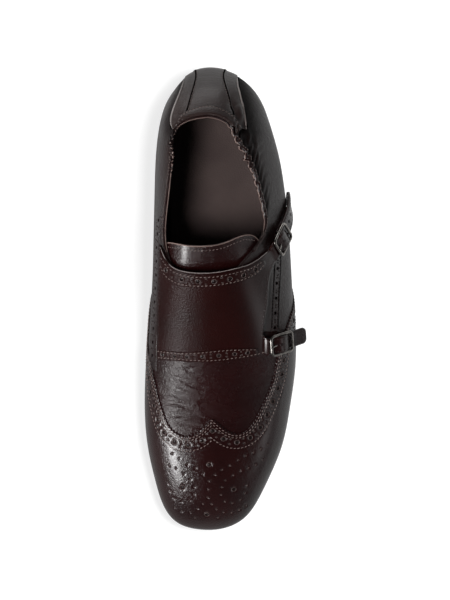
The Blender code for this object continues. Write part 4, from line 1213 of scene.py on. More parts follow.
# %% The medallion on the toe
MEDALLION_RINGS = ((-1.1, 256.4), (-17.9, 271.4), (15, 272.6), (-2.2, 289.1))
MEDALLION_CHAINS = (
    ((-24.5, 249.2), (-20.2, 252.4), (-14.8, 256.2), (-9.6, 258.8), (-5.1, 262.7)),
    ((2.7, 263), (7.2, 259.8), (12.4, 257.1), (17.6, 253.6), (22.6, 250.9), (27.5, 248.8),
     (32.3, 246.6), (36.8, 243.8)),
    ((-26.6, 257.4), (-22, 259.2), (-17.1, 262.5), (-12.8, 265.9), (-10.5, 270.9),
     (-10.5, 275.7), (-13.2, 279.8), (-18, 280.6), (-22.5, 278.9), (-24.9, 274.4),
     (-26.3, 269.4)),
    ((9.6, 266.8), (14.5, 263.4), (19.5, 260.6), (24.2, 258.8), (28.9, 256.8), (33.3, 253.7)),
    ((7.1, 271.2), (6.9, 276.3), (9.3, 280.6), (14.2, 281.8), (19.3, 279.6), (22.3, 275.3),
     (23.4, 270.2)),
    ((-1.3, 267.1), (-1.6, 272.7), (-1.8, 277.9)),
    ((0.8, 282.4), (-4.8, 282.2)),
    ((3.9, 285.6), (8.6, 287.9), (13.7, 288.3), (18.6, 286.5)),
    ((-8.3, 285.3), (-12.8, 287.6), (-18.1, 287.2), (-22.4, 284.6)),
    ((5.3, 291.4), (-9.6, 291.6)),
)
rings = [(centre, 1.5) for centre in sheet_under(MEDALLION_RINGS)]
dots = [(centre, 0.46) for chain in MEDALLION_CHAINS for centre in sheet_under(chain)]
dots.append((sheet_under((22.6, 284.0))[0], 1.0))
medallion = rings + dots
print("medallion:", len(rings), "rings and", len(dots), "dots")

# %% Cutting and sewing the wing cap
CAP = 0.95
cut_piece("wing_cap", on_skin, wing_outline, cap_calf, CAP, holes=wing_holes + medallion,
          rows=row_paths, spacing=1.3)
dress_holes("wing_holes", on_skin, wing_holes, CAP, floor=CAP - 0.45)
dress_holes("medallion", on_skin, medallion, CAP, floor=CAP - 0.45)
sew("wing_stitches", [row_on(on_skin, path, CAP - 0.02) for path in row_paths])

# %% [markdown]
# ## The heel of the upper
#
# A back strip covers the seam at the heel, with a wider reinforcing piece under it whose folded
# sides stand up as two ridges. A crescent binds the top of the heel, where a finger pulls the
# shoe on. All three are overlays on the same sheet.

# %% Counter piece, back strip and crescent
def around_back(outer_station, inner_station):
    """The sole's seam round the heel, from the outer side to the inner one."""
    return (along_sole(1, station_to_turn(outer_station), 0.004, 60)
            + along_sole(-1, 0.004, station_to_turn(inner_station), 60))


def along_collar(inner_station, outer_station, inset=0.35):
    """The collar's edge round the rear, from the inner side to the outer one."""
    picks = [k for k in collar_order if k == 0
             or ends[k, 1] <= (inner_station if sides[k] < 0 else outer_station)]
    return [ends[k] + section_way[k] * inset for k in picks]


def round_heel(inner, outer, collar, seam):
    """The outline of an overlay round the heel, between its two edges."""
    return np.concatenate([inner[::-1], along_collar(*collar), outer, around_back(*seam)])


counter_inner = with_wall(((-24.8, 41.5), (-25.6, 36.5), (-21.6, 21.8), (-17.0, 8.6)),
    ((5.6, 0.95), (5.0, 0.55), (4.6, 0.03)), -1)
counter_outer = with_wall(((21.9, 41.0), (21.4, 36.6), (18.8, 21.8), (16.8, 8.0)),
    ((4.6, 0.95), (4.2, 0.55), (4.0, 0.03)), 1)
strip_inner = with_wall(((-19.0, 36.3), (-17.6, 32.2), (-13.2, 17.4), (-10.4, 5.6)),
    ((2.2, 0.95), (1.9, 0.55), (1.7, 0.03)), -1)
strip_outer = with_wall(((14.4, 34.5), (13.7, 30.8), (11.1, 18.1), (9.2, 5.0)),
    ((1.6, 0.95), (1.4, 0.55), (1.3, 0.03)), 1)
COUNTER, STRIP = 0.75, 1.25
strip_rows = [beside(on_skin, line, inset)[4:-3]
              for line, inset in ((strip_inner, 1.2), (strip_outer, -1.2))]
cut_piece("heel_counter", on_skin, round_heel(counter_inner, counter_outer, (41.0, 40.0), (4.0, 4.6)),
          heel_calf, COUNTER, spacing=1.5, bevel=0.6)
cut_piece("back_strip", on_skin, round_heel(strip_inner, strip_outer, (36.0, 35.0), (1.3, 1.7)),
          heel_calf, STRIP, base=COUNTER - 0.1, spacing=1.5, rows=strip_rows, channel=0.55)
# Near-black lines along the back strip's stitched seams: painted shade in the seams' grooves.
for name, row in zip(("heel_seam_inner", "heel_seam_outer"), strip_rows):
    seam_line(name, on_skin, row, STRIP + 0.02, 0.6)
for name, line, inset in (("heel_shade_inner", counter_inner, -1.1),
        ("heel_shade_outer", counter_outer, 1.1)):
    seam_line(name, on_skin, beside(on_skin, line, inset)[3:-3], 0.05, 0.7)

# Painted shade beside each ridge and under the collar at the rear: the mask darkens and dulls the
# leather there.
for line, side, strength, width in ((counter_outer, 1, 1.0, 9.0), (counter_inner, -1, 0.8, 4.5)):
    ridge_shadow = np.exp(-(nearness(sheet_net, line)[0] / width) ** 2)
    painted_shade = np.maximum(painted_shade, strength * ridge_shadow * (sides == side)[:, None])
collar_shade = (sides > 0)[:, None] * hump(end_station, 41, 112, 5)
collar_shade_reach = 8.0 + 2.6 * np.sin(collar_way / 3.4) + 1.5 * np.sin(collar_way / 1.9 + 1)
painted_shade = np.maximum(painted_shade, 0.85 * collar_shade * np.exp(-(below_end / collar_shade_reach) ** 4))
painted_shade = np.maximum(painted_shade, 0.7 * inner_rear * np.exp(-(below_end / 5) ** 2))
# The mask is copied onto the skin's points as an attribute that the quarter's finish reads.
net_tree = KDTree(painted_shade.size)
for k, spot in enumerate(to_world(net_points).tolist()):
    net_tree.insert(spot, k)
net_tree.balance()
shade_attribute = upper.data.attributes.new("painted_shade", "FLOAT", "POINT")
for vertex in upper.data.vertices:
    shade_attribute.data[vertex.index].value = painted_shade.flat[net_tree.find(vertex.co)[1]]

# Beads on the counter's folded edges, in the light ridge finish: a painted highlight along each ridge.
for name, line in (("heel_ridge_inner", counter_inner), ("heel_ridge_outer", counter_outer)):
    points, outward = on_skin(paced(on_skin, line, 1.0))
    points, outward = (part[:int(0.66 * len(part))] for part in (points, outward))
    ahead = unit(np.gradient(points, axis=0))
    order = np.arange(len(points))
    swell = np.clip(np.minimum(order, order[::-1]) / 5, 0.15, 1)[:, None]
    place(swept(name, points + outward * 0.65, outward * swell, np.cross(outward, ahead) * swell,
                oval(0.7, 0.5), ridge_highlight_calf), "leather")
CRESCENT_FOOT = ((-21.6, 36.4), (-19.4, 33), (-14.8, 29.9), (-9, 27.6), (-2.6, 26.5), (3, 27.4),
    (7.5, 29.3), (13, 33), (16.6, 37.6), (17.8, 41))
crescent_foot = smooth_path(sheet_under(CRESCENT_FOOT), 120)
cut_piece("heel_crescent", on_skin, np.concatenate([crescent_foot[::-1], along_collar(38.0, 44.0)]),
    heel_calf, STRIP + 0.5, base=STRIP - 0.1, spacing=1.3,
    rows=(beside(on_skin, crescent_foot, 1.2)[6:-6],))
sew("heel_stitches", [row_on(on_skin, beside(on_skin, crescent_foot, 1.2)[4:-4], STRIP + 0.42)],
    length=1.6, pitch=2.2, thick=0.5)
sew("heel_strip_stitches", [row_on(on_skin, beside(on_skin, line, side * 1.75)[16:-3], STRIP)
    for line, side in ((strip_inner, 1), (strip_outer, -1))], length=1.3, pitch=2.1, thick=0.42)

# %% [markdown]
# ## Perforated bands on the quarters
#
# Beside the flap a narrow perforated band runs along each side of the shoe: on the outer side
# between the flap's edge and the grained quarter, on the inner side down the steep wall. They
# are thin, because on the outer side the flap lies over one edge of the band.

# %% Outer and inner facing bands
FACING = 0.42
OUTER_FACING_OUTSIDE = ((44.6, 117.5), (44.9, 124), (44.2, 132.7), (43.8, 148.8), (43.5, 160),
    (43.3, 171.5))
OUTER_FACING_INSIDE = ((35.4, 117.5), (35, 124), (34.4, 132.7), (33, 148.8), (31.6, 160), (30.8, 171.5))
outside = smooth_path(OUTER_FACING_OUTSIDE, 90)
inside = smooth_path(OUTER_FACING_INSIDE, 90)
facing_rows = (smooth_path(((39.9, 118.5), (39.9, 123.2), (39.7, 136.0), (39.4, 148.8),
                            (39.0, 160.0), (38.8, 171.0)), 90),
               beside(on_plan, outside, 0)[2:-2] + np.array([-0.85, 0.0]))
facing_middle = smooth_path(((42.7, 120.5), (42.5, 129.8), (41.8, 139.8), (41.4, 149.4), (41.1, 158.4),
    (40.9, 170.0)), 90)
facing_holes = [(centre, 1.2) for centre in paced(on_plan, facing_middle, 9.6, 9.3)]
for shift in (4.1, 5.7):
    facing_holes += [(centre, 0.5) for centre in paced(on_plan, facing_middle, 9.6, shift)]
cut_piece("outer_facing", on_plan, np.concatenate([outside, inside[::-1]]), trim_calf, FACING,
          holes=facing_holes, rows=facing_rows, spacing=1.2)
# Its holes are backed in near-black: painted shade inside them.
dress_holes("outer_facing_holes", on_plan, facing_holes, FACING, floor=0.05, lip=trim_calf,
            back=seam_and_shadow_dark)

# Two near-black lines along the facing's band, by its stitched seam and by its outer edge: painted
# shade.
for name, shift in (("outer_facing_seam_near", -2.1), ("outer_facing_seam_far", 1.95)):
    seam_line(name, on_plan, facing_middle[2:-2] + np.array([shift, 0.0]), FACING + 0.02, 0.48)
inner_line = smooth_path(sheet_under((
    (-31.6, 97.0), (-33.0, 110.0), (-33.4, 125.0), (-33.9, 145.0), (-34.2, 165.0), (-34.6, 180.0),
    (-35.0, 196.0))), 160)
INNER_FACING_WIDE = 10.5
inner_outside = beside(on_skin, inner_line, INNER_FACING_WIDE)
inner_rows = [beside(on_skin, inner_line, distance)[4:-4] for distance in (1.3, 9.2)]
inner_holes = band_holes(on_skin, beside(on_skin, inner_line, 5.2), step=9.0, start=3.0, big=1.2,
    small=0.5)
cut_piece("inner_facing", on_skin, np.concatenate([inner_line, inner_outside[::-1]]), trim_calf,
          FACING, holes=inner_holes, rows=inner_rows, spacing=1.3)
# Its holes are backed in near-black: painted shade inside them.
dress_holes("inner_facing_holes", on_skin, inner_holes, FACING, floor=0.05, lip=trim_calf,
            back=seam_and_shadow_dark)
sew("facing_stitches", [row_on(on_plan, row, FACING - 0.05) for row in facing_rows]
    + [row_on(on_skin, row, FACING - 0.05) for row in inner_rows],
    finish=dark_thread, length=1.5, pitch=2.1, thick=0.5)

# %% A binding along the collar's sides
binding_rows = []
for name, side, low, high, width in (("collar_band_outer", 1, 47.0, 114.0, 3.2),
        ("collar_band_inner", -1, 44.0, 117.0, 2.6)):
    picks = [k for k in collar_order if sides[k] == side and low <= ends[k, 1] <= high]
    near, row, far = (ends[picks] + section_way[picks] * inset for inset in (0.3, width - 0.8, width))
    cut_piece(name, on_skin, np.concatenate([near, far[::-1]]), trim_calf, 0.55, spacing=1.2, bevel=0.3)
    binding_rows.append(row_on(on_skin, row[3:-3], 0.5))
sew("collar_stitches", binding_rows, length=1.4, pitch=2.0, thick=0.45)

# %% [markdown]
# ## The tongue
#
# The tongue lies under the quarters and the flap, and shows its top third in the opening. Its
# top edge is turned over and stitched.

# %% Tongue
TONGUE, TONGUE_DROP, TONGUE_FOOT = 1.6, 0.6, 172.0
TONGUE_TOP = ((-33, 113.2), (-28, 114), (-20, 115.9), (-8, 116.9), (3, 116),
              (11, 113.6), (18.5, 110.2), (24.5, 108.6), (29, 109.4), (33, 114))
TONGUE_SAG, TONGUE_HALF = 4.2, 32.0


def on_tongue(flat):
    """The plan's surface let down in the middle, where a tongue lies flatter."""
    points, outward = on_plan(flat)
    across = np.clip(points[..., 0] / TONGUE_HALF, -1, 1)
    return points - TONGUE_SAG * np.cos(across * math.pi / 2)[..., None] ** 2 * [0, 0, 1], outward


top_edge = smooth_path(TONGUE_TOP, 90)
down = np.linspace(0, 1, 70)[:, None, None]
tongue_foot = np.column_stack([np.linspace(-29.0, 33.0, 90), np.full(90, TONGUE_FOOT)])
tongue_plan = (top_edge + (tongue_foot - top_edge) * down ** 1.2).reshape(-1, 2)
tongue_points, tongue_out = on_tongue(tongue_plan)
tongue_top = tongue_points - tongue_out * (WALL + TONGUE_DROP)
place(sheet_piece("tongue_leather", tongue_top, tongue_top - tongue_out * TONGUE, grid_faces(70, 90),
    tongue_calf, roll=0.32), "leather", "tongue")
hem = smooth_path([(x, y + 3.0) for x, y in TONGUE_TOP[:-1]], 120)
fold = smooth_path([(x, y + 0.15) for x, y in TONGUE_TOP], 120)
fold_points, fold_out = on_tongue(fold)
fold_way = unit(np.gradient(fold_points, axis=0))
place(swept("tongue_cut_edge", fold_points - fold_out * (WALL + TONGUE_DROP + 0.25), fold_out,
            np.cross(fold_out, fold_way), oval(0.42, 0.42, 8), edge_tan), "lining")
sew("tongue_stitches", [row_on(on_tongue, hem, -(WALL + TONGUE_DROP) + 0.02)], length=1.6,
    pitch=2.3, thick=0.5)

# %% [markdown]
# ## The flap and its two straps
#
# One piece of leather crosses the instep. From its outer edge two straps run under their
# buckles' frames and over the centre bars, and end free on the outer wall. The flap is a patch
# between four drawn edges, each strap a row of sections along the wall, and a smooth curve joins
# the two.

# %% The flap's grid
FLAP, FLAP_LIFT, STRAP_WIDTH = 1.8, 0.5, 10.4
BAR, PRONG, TAB = 1.6, 1.0, 0.7
FRAME_LENGTH, FRAME_WIDTH, FRAME_CORNER = 19.4, 14.3, 2.4
FRAME_Z, CENTRE_BAR_Z = 4.7, 2.5
STRAP_UNDER_FRAME, STRAP_OVER_BAR, STRAP_TIP_Z = 1.7, 4.9, 1.5
SETTLE, TIP_CORNER = 6.0, 3.0
FLAP_TOP = ((-31.6, 115), (-29.4, 121), (-24.5, 128.4), (-15.6, 131.7), (-6.6, 132.4),
            (3.5, 131.7), (13.7, 129.6), (22.8, 127), (29.6, 122.8), (35.2, 118.3))
FLAP_BOTTOM = ((-33, 188), (-22, 188.6), (-10, 189.3), (2, 189.2), (14, 187.8), (24, 186.2),
    (32.2, 184.4))
FLAP_INNER = ((-31.6, 115), (-32.6, 135), (-33, 160), (-33, 188))
FLAP_OUTER_ROOT_UPPER = ((35.2, 118.3), (39.4, 125.6))
FLAP_OUTER_HOLLOW = ((39.4, 125.6), (36.8, 131.5), (35.4, 140), (34.8, 151), (33.2, 163), (32.4, 172.6))
FLAP_OUTER_ROOT_LOWER = ((32.4, 172.6), (32.2, 184.4))
BUCKLES = {
    "upper": {"station": 111.2, "rise": 0.335, "down": 0.74, "back": 0.67, "past": 41.0,
              "curl": 47.0, "twist": 0.52},
    "lower": {"station": 177.4, "rise": 0.435, "down": 1.0, "back": 0.04, "past": 22.5,
              "curl": 160.0, "twist": 0.0},
}
FLAP_COLUMNS, ROOT_ROWS, HOLLOW_ROWS = 60, 13, 44


def flap_plan():
    """The flap's grid on the plan, between its four edges."""
    outer_edge = np.concatenate([cubic_along(FLAP_OUTER_ROOT_UPPER)(np.linspace(0, 1, ROOT_ROWS))[:-1],
        cubic_along(FLAP_OUTER_HOLLOW)(np.linspace(0, 1, HOLLOW_ROWS)),
        cubic_along(FLAP_OUTER_ROOT_LOWER)(np.linspace(0, 1, ROOT_ROWS))[1:]])
    rows = len(outer_edge)
    down = np.linspace(0, 1, rows)[:, None, None]
    across = np.linspace(0, 1, FLAP_COLUMNS)[None, :, None]
    inner_edge = cubic_along(FLAP_INNER)(down[:, 0, 0])[:, None, :]
    outer_edge = outer_edge[:, None, :]
    top = cubic_along(FLAP_TOP)(across[0, :, 0])[None]
    bottom = cubic_along(FLAP_BOTTOM)(across[0, :, 0])[None]
    corners = ((1 - down) * (1 - across) * inner_edge[:1] + (1 - down) * across * outer_edge[:1]
               + down * (1 - across) * inner_edge[-1:] + down * across * outer_edge[-1:])
    return (inner_edge * (1 - across) + outer_edge * across
            + top * (1 - down) + bottom * down - corners)


# %% Strap sections
def buckle_axes(which):
    """A buckle's middle and its axes: along the strap, across it, and out."""
    buckle = BUCKLES[which]
    station, rise, side = (np.asarray(value) for value in (buckle["station"], buckle["rise"], 1.0))
    middle, out = crown_point(station, side, rise), crown_normal(station, side, rise)
    back = crown_point(station - 1.0, side, rise) - middle
    down = crown_point(station, side, rise - 0.02) - middle
    back = unit(back - out * (back @ out))
    down = unit(down - out * (down @ out) - back * (down @ back))
    along = unit(back * buckle["back"] + down * buckle["down"])
    across = np.cross(out, along)
    return middle, along, (across if across[1] >= 0 else -across), out


def strap_height(way):
    """The strap's height: down under each end bar, up over the centre bar."""
    end_bar = (FRAME_LENGTH - BAR) / 2
    over = max(0.0, math.cos(math.pi / 2 * min(1.0, abs(way) / end_bar))) ** 1.7
    settle = eased_in((way - end_bar) / SETTLE)
    low = STRAP_UNDER_FRAME + (STRAP_TIP_Z - STRAP_UNDER_FRAME) * settle
    return low + (STRAP_OVER_BAR - STRAP_UNDER_FRAME) * over


def strap_line(way, curl):
    """The strap's base line: straight at first, then curling to the wall."""
    straight = FRAME_LENGTH / 2
    if way <= straight:
        return way, 0.0, 0.0
    turn = (way - straight) / curl
    return straight + curl * math.sin(turn), -curl * (1 - math.cos(turn)), turn


def strap_sections(which):
    """Rows across a strap up to its tip: underside and upward direction."""
    middle, along, across, out = buckle_axes(which)
    past, curl, twist = (BUCKLES[which][name] for name in ("past", "curl", "twist"))
    ways = np.concatenate([np.linspace(-FRAME_LENGTH / 2 - 0.6, FRAME_LENGTH / 2, 41),
        np.linspace(FRAME_LENGTH / 2, past - TIP_CORNER, 24)[1:],
        past - TIP_CORNER * (1 - np.sin(np.linspace(0, math.pi / 2, 9)[1:]))])
    under, lifts = [], []
    for way in ways:
        rounding = max(0.0, (way - (past - TIP_CORNER)) / TIP_CORNER)
        half = STRAP_WIDTH / 2 - TIP_CORNER * (1 - math.sqrt(max(0.0, 1 - rounding ** 2)))
        a, fall, turn = strap_line(way, curl)
        here = along * math.cos(turn) - out * math.sin(turn)
        away = out * math.cos(turn) + along * math.sin(turn)
        free = max(0.0, way - FRAME_LENGTH / 2) / (past - FRAME_LENGTH / 2)
        roll = twist * free ** 1.3
        beside_way = across * math.cos(roll) - away * math.sin(roll)
        away = away * math.cos(roll) + across * math.sin(roll)
        slope = (strap_height(way + 0.05) - strap_height(way - 0.05)) / 0.1
        lift = (away - here * slope) / math.hypot(1, slope)
        centre = middle + along * a + out * fall + away * strap_height(way)
        under.append(centre + beside_way * np.linspace(-half, half, ROOT_ROWS)[:, None])
        lifts.append(np.tile(lift, (ROOT_ROWS, 1)))
    return np.array(under), np.array(lifts), ways


def eased(root, before, strap_start, strap_next, count=9):
    """Rows that carry the flap's edge smoothly into the strap."""
    span = np.linalg.norm(strap_start - root, axis=1, keepdims=True)
    leave, arrive = unit(root - before) * span, unit(strap_next - strap_start) * span
    rows = []
    for t in np.linspace(0, 1, count + 2)[1:-1]:
        rows.append((2 * t ** 3 - 3 * t ** 2 + 1) * root + (t ** 3 - 2 * t ** 2 + t) * leave * 0.8
                    + (3 * t ** 2 - 2 * t ** 3) * strap_start + (t ** 3 - t ** 2) * arrive * 0.8)
    return np.array(rows)


# %% Flap and straps in one piece
flap_grid = flap_plan()
flap_rows, flap_columns = flap_grid.shape[:2]
base_points, base_out = on_plan(flap_grid)
under_all, top_all = ([(base_points + base_out * lift).reshape(-1, 3)]
    for lift in (FLAP_LIFT, FLAP_LIFT + FLAP))
flap_faces = grid_faces(flap_rows, flap_columns)
strap_tops = {}
count = flap_rows * flap_columns
for which, root_rows in (("upper", range(ROOT_ROWS)),
        ("lower", range(flap_rows - ROOT_ROWS, flap_rows))):
    root = [row * flap_columns + flap_columns - 1 for row in root_rows]
    prior = [k - 1 for k in root]
    under_rows, lifts, ways = strap_sections(which)
    if np.linalg.norm(under_all[0][root[0]] - under_rows[0, 0]) > np.linalg.norm(
            under_all[0][root[0]] - under_rows[0, -1]):
        under_rows, lifts = under_rows[:, ::-1], lifts[:, ::-1]
    top_rows = under_rows + lifts * FLAP
    under_rows, strap_tops[which] = (
        np.concatenate([eased(flat[0][root], flat[0][prior], rows[0], rows[1]), rows])
        for flat, rows in ((under_all, under_rows), (top_all, top_rows)))
    under_all.append(under_rows.reshape(-1, 3))
    top_all.append(strap_tops[which].reshape(-1, 3))
    before = root
    for _ in under_rows:
        here = list(range(count, count + ROOT_ROWS))
        flap_faces += [(before[j], before[j + 1], here[j + 1], here[j]) for j in range(ROOT_ROWS - 1)]
        before = here
        count += ROOT_ROWS
place(sheet_piece("flap_and_straps", np.concatenate(top_all), np.concatenate(under_all), flap_faces,
    flap_calf, roll=0.16), "leather", "strap_panel")

# %% Perforated bands at the flap's top and bottom
FLAP_TOP_Z = FLAP_LIFT + FLAP
TOP_BAND = ((-31.2, 117), (-29.3, 121.9), (-24.2, 129.3), (-15.6, 132.6), (-6.6, 133.3), (3.5, 132.6),
    (13.9, 130.5), (23.2, 127.9), (28.5, 124.9), (31.4, 124.2), (32.9, 126.6), (31.4, 129.6),
    (28.2, 132.2), (23.6, 135.3), (15.8, 138.2), (3.5, 140.5), (-8.7, 141.3), (-19.4, 140.4),
    (-26.3, 137.2), (-29.8, 132), (-31.6, 124.5))
TOP_ROW_ONE = ((-29.9, 123.6), (-24, 130.8), (-15.6, 134), (-6.6, 134.7), (3.6, 134), (14.2, 131.9),
    (23.5, 129.2), (29.6, 125.9))
TOP_ROW_TWO = ((-30.2, 128.6), (-28, 133.5), (-25.2, 136.3), (-19, 139.2), (-8.6, 140.2), (3.4, 139.4),
    (15.5, 137.1), (23.3, 134.3), (27.9, 131.2), (31, 127.8))
TOP_HOLES = ((-27.3, 130.6), (-18.4, 136), (-8.9, 137.3), (0.8, 137.3), (10.2, 135.8),
             (18.6, 133.6), (26, 130.3))
BOTTOM_BAND = ((-32.7, 187.6), (-22, 188.2), (-10, 188.9), (2, 188.8), (14, 187.4), (24, 185.9),
    (28.6, 185.2), (29.2, 183.6), (28.9, 180.9), (27.4, 180.3), (17.5, 180.4), (7, 180.9),
    (-6.6, 182.2), (-18, 182.9), (-32.7, 181.8))
BOTTOM_ROW_ONE = ((-31.9, 186.8), (-22, 187.3), (-10, 188), (2, 187.9), (14, 186.5), (24, 185),
    (28, 184.3))
BOTTOM_ROW_TWO = ((-32, 182.6), (-18, 183.7), (-6.6, 183), (7, 181.7), (17.5, 181.2), (27.2, 181.2))
BOTTOM_HOLES = ((-29.4, 184.7), (-22.4, 185.4), (-15.1, 185.7), (-5.8, 185.5), (4.5, 184.8),
    (14.3, 183.9), (22.6, 183.1))


def between(centres, lay, apart):
    """Pairs of small holes halfway between neighbouring big ones."""
    centres = np.array(centres, float)
    middles = (centres[1:] + centres[:-1]) / 2
    way = unit(centres[1:] - centres[:-1])
    across = np.stack([-way[:, 1], way[:, 0]], axis=1)
    return [(point, 0.46) for sign in (-apart, apart) for point in middles + across * sign]


def ring_through(points, share=12):
    """A closed outline with its corners kept: straight pieces, finely divided."""
    points = np.array(points, float)
    pieces = [points[k] + (points[(k + 1) % len(points)] - points[k]) * t
              for k in range(len(points)) for t in np.linspace(0, 1, share, endpoint=False)]
    ring = np.array(pieces)
    for _ in range(6):
        ring = (np.roll(ring, 1, axis=0) + 2 * ring + np.roll(ring, -1, axis=0)) / 4
    return ring


flap_sewing = []
for name, ring, row_points, hole_points, big in (
        ("flap_top_band", TOP_BAND, (TOP_ROW_ONE, TOP_ROW_TWO), TOP_HOLES, 1.6),
        ("flap_bottom_band", BOTTOM_BAND, (BOTTOM_ROW_ONE, BOTTOM_ROW_TWO), BOTTOM_HOLES, 1.3)):
    rows = [smooth_path(points, 160) for points in row_points]
    holes = [(np.array(point), big) for point in hole_points]
    holes += between(hole_points, on_plan, 1.7 if "top" in name else 1.15)
    cut_piece(name, on_plan, ring_through(ring), flap_calf, FLAP_TOP_Z + 0.55,
              base=FLAP_TOP_Z - 0.1, holes=holes, rows=rows, spacing=1.2)
    dress_holes(name + "_holes", on_plan, holes, FLAP_TOP_Z + 0.55, floor=FLAP_TOP_Z + 0.08)
    flap_sewing += [row_on(on_plan, row, FLAP_TOP_Z + 0.5) for row in rows]

# %% Stitches along the flap's edges and the straps
hollow_row = smooth_path([(x - 1.5, y) for x, y in FLAP_OUTER_HOLLOW], 160)
seam_line("flap_edge_shade", on_plan, smooth_path([(x + 0.55, y) for x, y in FLAP_OUTER_HOLLOW],
    160)[4:-4], FACING + 0.04, 0.55)
# A rim along the flap's top edge in the light ridge finish: a painted highlight.
seam_line("flap_top_rim", on_plan, smooth_path(FLAP_TOP, 160)[3:-3], FLAP_TOP_Z - 0.25, 0.24, 0.3,
          ridge_highlight_calf)
edge_sewing = [row_on(on_plan, hollow_row, FLAP_TOP_Z),
    row_on(on_plan, smooth_path([(x + 1.2, y) for x, y in FLAP_INNER], 160)[6:-6], FLAP_TOP_Z)]
flap_sewing.append(row_on(on_plan, smooth_path(((29.8, 184.0), (32.4, 183.4)), 20), FLAP_TOP_Z))
strap_outward = {}
for which, rows in strap_tops.items():
    outward = np.cross(unit(np.gradient(rows, axis=1)), unit(np.gradient(rows, axis=0)))
    outward *= np.sign((outward * buckle_axes(which)[3]).sum())
    strap_outward[which] = outward
    for column in (1.4, ROOT_ROWS - 2.4):
        k, t = int(column), column - int(column)
        line = rows[:-9, k] * (1 - t) + rows[:-9, k + 1] * t
        edge_sewing.append((line + outward[:-9, k] * 0.02, outward[:-9, k]))
    edge_sewing.append((rows[-10, 1:-1] + outward[-10, 1:-1] * 0.02, outward[-10, 1:-1]))
sew("flap_stitches", flap_sewing, length=1.75, pitch=2.6, thick=0.62)
sew("flap_edge_stitches", edge_sewing, dark_thread, length=1.4, pitch=2.0, thick=0.45)

# %% [markdown]
# ## Sole, heel and insole
#
# Under the upper lie a leather outsole, a heel built up from stacked lifts, and a rubber top
# lift. Each is a closed slab over the sole's outline: rings of points follow the outline, first
# round the edge's profile, then inwards to the middle line.

# %% Slabs with a turned edge
OUTLINE_POINTS, SLAB_END = 360, 26.0


def slab(name, inset, profile, low, high, finish, inner_rings=(0.85, 0.66, 0.46, 0.24)):
    """A closed slab between two heights over the sole's underside.

    The profile gives further insets, and shares of the way up, round its edge."""
    def plan_at(more):
        return sole_outline(OUTLINE_POINTS, inset + more)

    outer = plan_at(0.0)
    x, station = outer.T
    spine = np.column_stack([0 * x + x.mean(), np.clip(station, station.min() + SLAB_END,
                                                       station.max() - SLAB_END)])

    def ring(plan, share):
        ground = sole_underside(plan[:, 1])
        return np.column_stack([plan, (ground + low) * (1 - share) + (ground + high) * share])

    first_plan, last_plan = plan_at(profile[0][0]), plan_at(profile[-1][0])
    rings = [ring(spine, 0.0)]
    rings += [ring(spine + (first_plan - spine) * t, 0.0) for t in inner_rings[::-1]]
    rings += [ring(plan_at(more), share) for more, share in profile]
    rings += [ring(spine + (last_plan - spine) * t, 1.0) for t in inner_rings]
    rings.append(ring(spine, 1.0))
    points = np.stack(rings, axis=1).reshape(-1, 3)
    # The two sides meet on the middle line, so opposite points there become one.
    count, columns = len(outer), len(rings)
    opposite = np.arange(count * columns).reshape(count, columns)
    nearer = np.minimum(np.arange(count), -np.arange(count) % count)
    opposite[:, [0, -1]] = opposite[nearer][:, [0, -1]]
    first, same = shared_spots(points, 0.01)
    faces = joined_faces(grid_faces(count, columns, closed=True), first[same][opposite.ravel()])
    return make_piece(name, points, faces, finish)


SOLE_EDGE = 1.0
SOLE_PROFILE = ((1.6, 0.0), (0.7, 0.02), (0.2, 0.1), (0.0, 0.24), (0.0, 0.74), (0.2, 0.9), (0.7, 0.98),
    (1.6, 1.0), (3.2, 1.0))
place(slab("outsole_leather", -SOLE_EDGE, SOLE_PROFILE, 0.0, OUTSOLE, sole_hide), "sole", "outsole")

INSOLE, INSOLE_CLEARANCE = 2.2, 1.2
INSOLE_PROFILE = ((0.8, 0.0), (0.2, 0.1), (0.0, 0.4), (0.0, 1.05), (0.5, 1.35), (1.3, 1.38),
    (3.0, 1.18), (6.0, 1.0))
insole_lift = OUTSOLE + GAP + WALL + GAP
place(slab("insole_sock", WALL + INSOLE_CLEARANCE, INSOLE_PROFILE, insole_lift,
           insole_lift + INSOLE, sock_hide), "lining", "insole")


# %% The stacked heel
def heel_outline(inset, count=220):
    """The sole's outline behind the breast, whose front face is slightly hollow."""
    breast_turn = float(station_to_turn(HEEL_BREAST, SEAM_BACK, SEAM_FRONT))
    half = np.linspace(0, breast_turn, count // 2)
    station = turn_to_station(half, SEAM_BACK, SEAM_FRONT) + inset * (1 - half / breast_turn)
    inner, outer = (np.column_stack([side * np.maximum(side_value(seam, "", half, side) - inset, 0),
                                     station]) for side in (-1.0, 1.0))
    across = np.linspace(inner[-1, 0], outer[-1, 0], 50)[1:-1]
    hollow = 3.0 * (1 - ((across - across.mean()) / (np.ptp(across) / 2 + 5)) ** 2)
    return np.concatenate([inner, np.column_stack([across, inner[-1, 1] - hollow]), outer[:0:-1]])


def stacked(name, plan_inset, levels, finish):
    """A block lofted through levels: each is a height and an inset."""
    plans = [(heel_outline(plan_inset + inset), z) for z, inset in levels]
    points = np.stack([np.column_stack([plan, np.full(len(plan), z)]) for plan, z in plans], axis=1)
    count, columns = points.shape[:2]
    faces = grid_faces(count, columns, closed=True)
    faces += [tuple(k * columns for k in range(count)),
              tuple(k * columns + columns - 1 for k in reversed(range(count)))]
    return make_piece(name, points.reshape(-1, 3), faces, finish)


